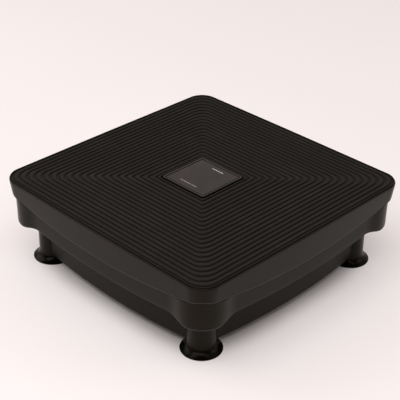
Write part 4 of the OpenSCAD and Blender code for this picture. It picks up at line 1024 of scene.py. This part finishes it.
STEEL = "fastener_steel"
inlet_screw_at = [(-42 + s * 20, 168.5, 45) for s in (-1, 1)]
low_screws = copies("pan_screw_heads", screw(1.75, 11, 3.5, 2.2), [(x, y, 62) for x, y in pan_screw_at], STEEL)
bay_screws = copies("bay_screw_heads", screw(1.75, 7.5, 3.5, 2.2), [(x, y, PAN_LOW) for x, y in bay_screw_at],
                    STEEL)
piece(joined("belly_screws", low_screws, bay_screws), "base", "fastener_steel", "pan_screws")
inlet_screws = copies("inlet_screw_heads", screw(1.5, 6, 2.8, 1.8), inlet_screw_at, STEEL, (math.pi / 2, 0, 0))
piece(inlet_screws, "base", "fastener_steel", "inlet_screws")

# %% [markdown]
# ## Softened hard parts
# The inlet, its tray and pins, the switch and the chassis are right in shape, but their edges are knife sharp,
# and no moulded or machined edge is. A copy of the solid is merged, its flat faces are joined again, and a small
# bevel breaks the edges. The solid itself is never touched.

# %% Softened copies
def softened(node, width, body, slot):
    source = frame["nodes"][node]
    mesh = source.data.copy()
    mesh.transform(source.matrix_world)
    b = bmesh.new()
    b.from_mesh(mesh)
    bmesh.ops.remove_doubles(b, verts=b.verts, dist=2e-6)
    bmesh.ops.dissolve_limit(b, angle_limit=math.radians(1), verts=b.verts, edges=b.edges)
    b.to_mesh(mesh)
    b.free()
    blank = placed("blank", mesh)
    modifier = blank.modifiers.new("soft edge", "BEVEL")
    modifier.width = width * MM
    modifier.segments = 2
    modifier.limit_method = "ANGLE"
    modifier.angle_limit = math.radians(35)
    soft = applied(blank)
    soft.shade_smooth()
    soft.set_sharp_from_angle(angle=math.radians(28))
    piece(soft, body, slot, node, name="soft_edged_" + node)


softened("inlet_bay", 0.6, "base", "pan_plastic")
softened("power_inlet", 0.5, "base", "black_plastic")
softened("inlet_pins", 0.25, "base", "pin_brass")
softened("switch_frame", 0.45, "base", "black_plastic")
softened("switch_rocker", 0.5, "switch", "rocker_plastic")
softened("chassis", 0.4, "base", "pan_plastic")

# %% [markdown]
# ## The parts that stay as they are
# Everything else inside keeps its solid and takes the finish that its slot names in the record.

# %% Finishes for the solids
for part in frame["record"]["subparts"]:
    thing = frame["nodes"][part["node"]]
    if not thing.material_slots:
        thing.data.materials.append(None)
    for place in thing.material_slots:
        place.material = FINISHES[part["material_slot"]]
print("solids with a finish:", len(frame["nodes"]))

# %% [markdown]
# ## Floor and light
# The photograph has a pale, plain floor and soft light from all round. A wide disc makes the floor. A pale world
# gives much of the light. It is dimmer towards the front, so the front corner stays dark, and three large lamps
# give the sides their different tones. The floor also glows a little. Right outside the machine that glow is
# painted light, which keeps the contact shadow narrow, and far away, where the lamps don't reach, it lets the
# floor meet the world without a line.

# %% Floor and lights
FLOOR_R = 6
FRONT = (0.69, -0.69, 0.2)         # the way towards the front corner
FAR_GLOW, NEAR_GLOW = (0.55, 0.512, 0.505), (0.27, 0.251, 0.248)
ROOM, ROOM_FRONT, BACKDROP = (1.0, 0.93, 0.92), (0.2, 0.18, 0.17), (1.44, 1.29, 1.27)


def pale_floor():
    f = Finish("pale_floor", IOR=1.4, Specular_IOR_Level=0.2, Emission_Strength=1)
    cloud = f.noise(2, 2)
    far = f.ramp(f.node("ShaderNodeVectorMath", {"operation": "LENGTH"}, {0: f.place}, out="Value"), 0.6, 5.5)
    beside = (f.axis("X") ** 4 + f.axis("Y") ** 4) ** 0.25
    # Painted light: the floor glows just outside the machine, which narrows its contact shadow.
    near = f.ramp(beside, 0.165, 0.205, interpolation_type="SMOOTHSTEP")
    f.feed(Base_Color=f.shade(cloud, (0.63, 0.588, 0.582), (0.645, 0.602, 0.596)), Roughness=0.6 + cloud * 0.1,
           Emission_Color=f.shade(far, f.shade(near, (0, 0, 0), NEAR_GLOW), FAR_GLOW))


pale_floor()
floor_mesh = bpy.data.meshes.new("studio_floor")
b = bmesh.new()
bmesh.ops.create_circle(b, cap_ends=True, segments=96, radius=FLOOR_R)
b.to_mesh(floor_mesh)
b.free()
floor_mesh.materials.append(FINISHES["pale_floor"])
floor = placed("studio_floor", floor_mesh)

world = bpy.data.worlds.new("studio")
world.use_nodes = True
w = Graph(world.node_tree)
w.tree.nodes.clear()
way = w.node("ShaderNodeTexCoord", out="Generated")
ahead = w.node("ShaderNodeVectorMath", {"operation": "DOT_PRODUCT"}, {0: way, 1: FRONT}, out="Value")
room = w.shade(w.ramp(ahead, 0.1, 0.9, interpolation_type="SMOOTHSTEP"), ROOM, ROOM_FRONT)
room = w.shade(w.node("ShaderNodeLightPath", out="Is Camera Ray"), room, BACKDROP)
sky = w.node("ShaderNodeBackground", {}, {"Color": room, "Strength": 0.62})
w.tree.links.new(sky.socket, w.tree.nodes.new("ShaderNodeOutputWorld").inputs[0])
bpy.context.scene.world = world
bpy.context.scene.view_settings.view_transform = "Standard"


def lamp(name, place, target, size, watts):
    light = bpy.data.lights.new(name, "AREA")
    light.size = size
    light.energy = watts
    thing = placed(name, light)
    thing.location = place
    thing.rotation_euler = (Vector(target) - Vector(place)).to_track_quat("-Z", "Y").to_euler()


lamp("soft_box_front", (0.45, -0.9, 2.1), (0.1, 0, 0), 2.2, 40)
lamp("soft_box_left", (-1.7, -0.8, 1.3), (-0.2, 0.2, 0), 1.4, 11)
lamp("soft_box_right", (2.0, 1.9, 1.7), (0.6, 0.8, 0), 1.4, 9)
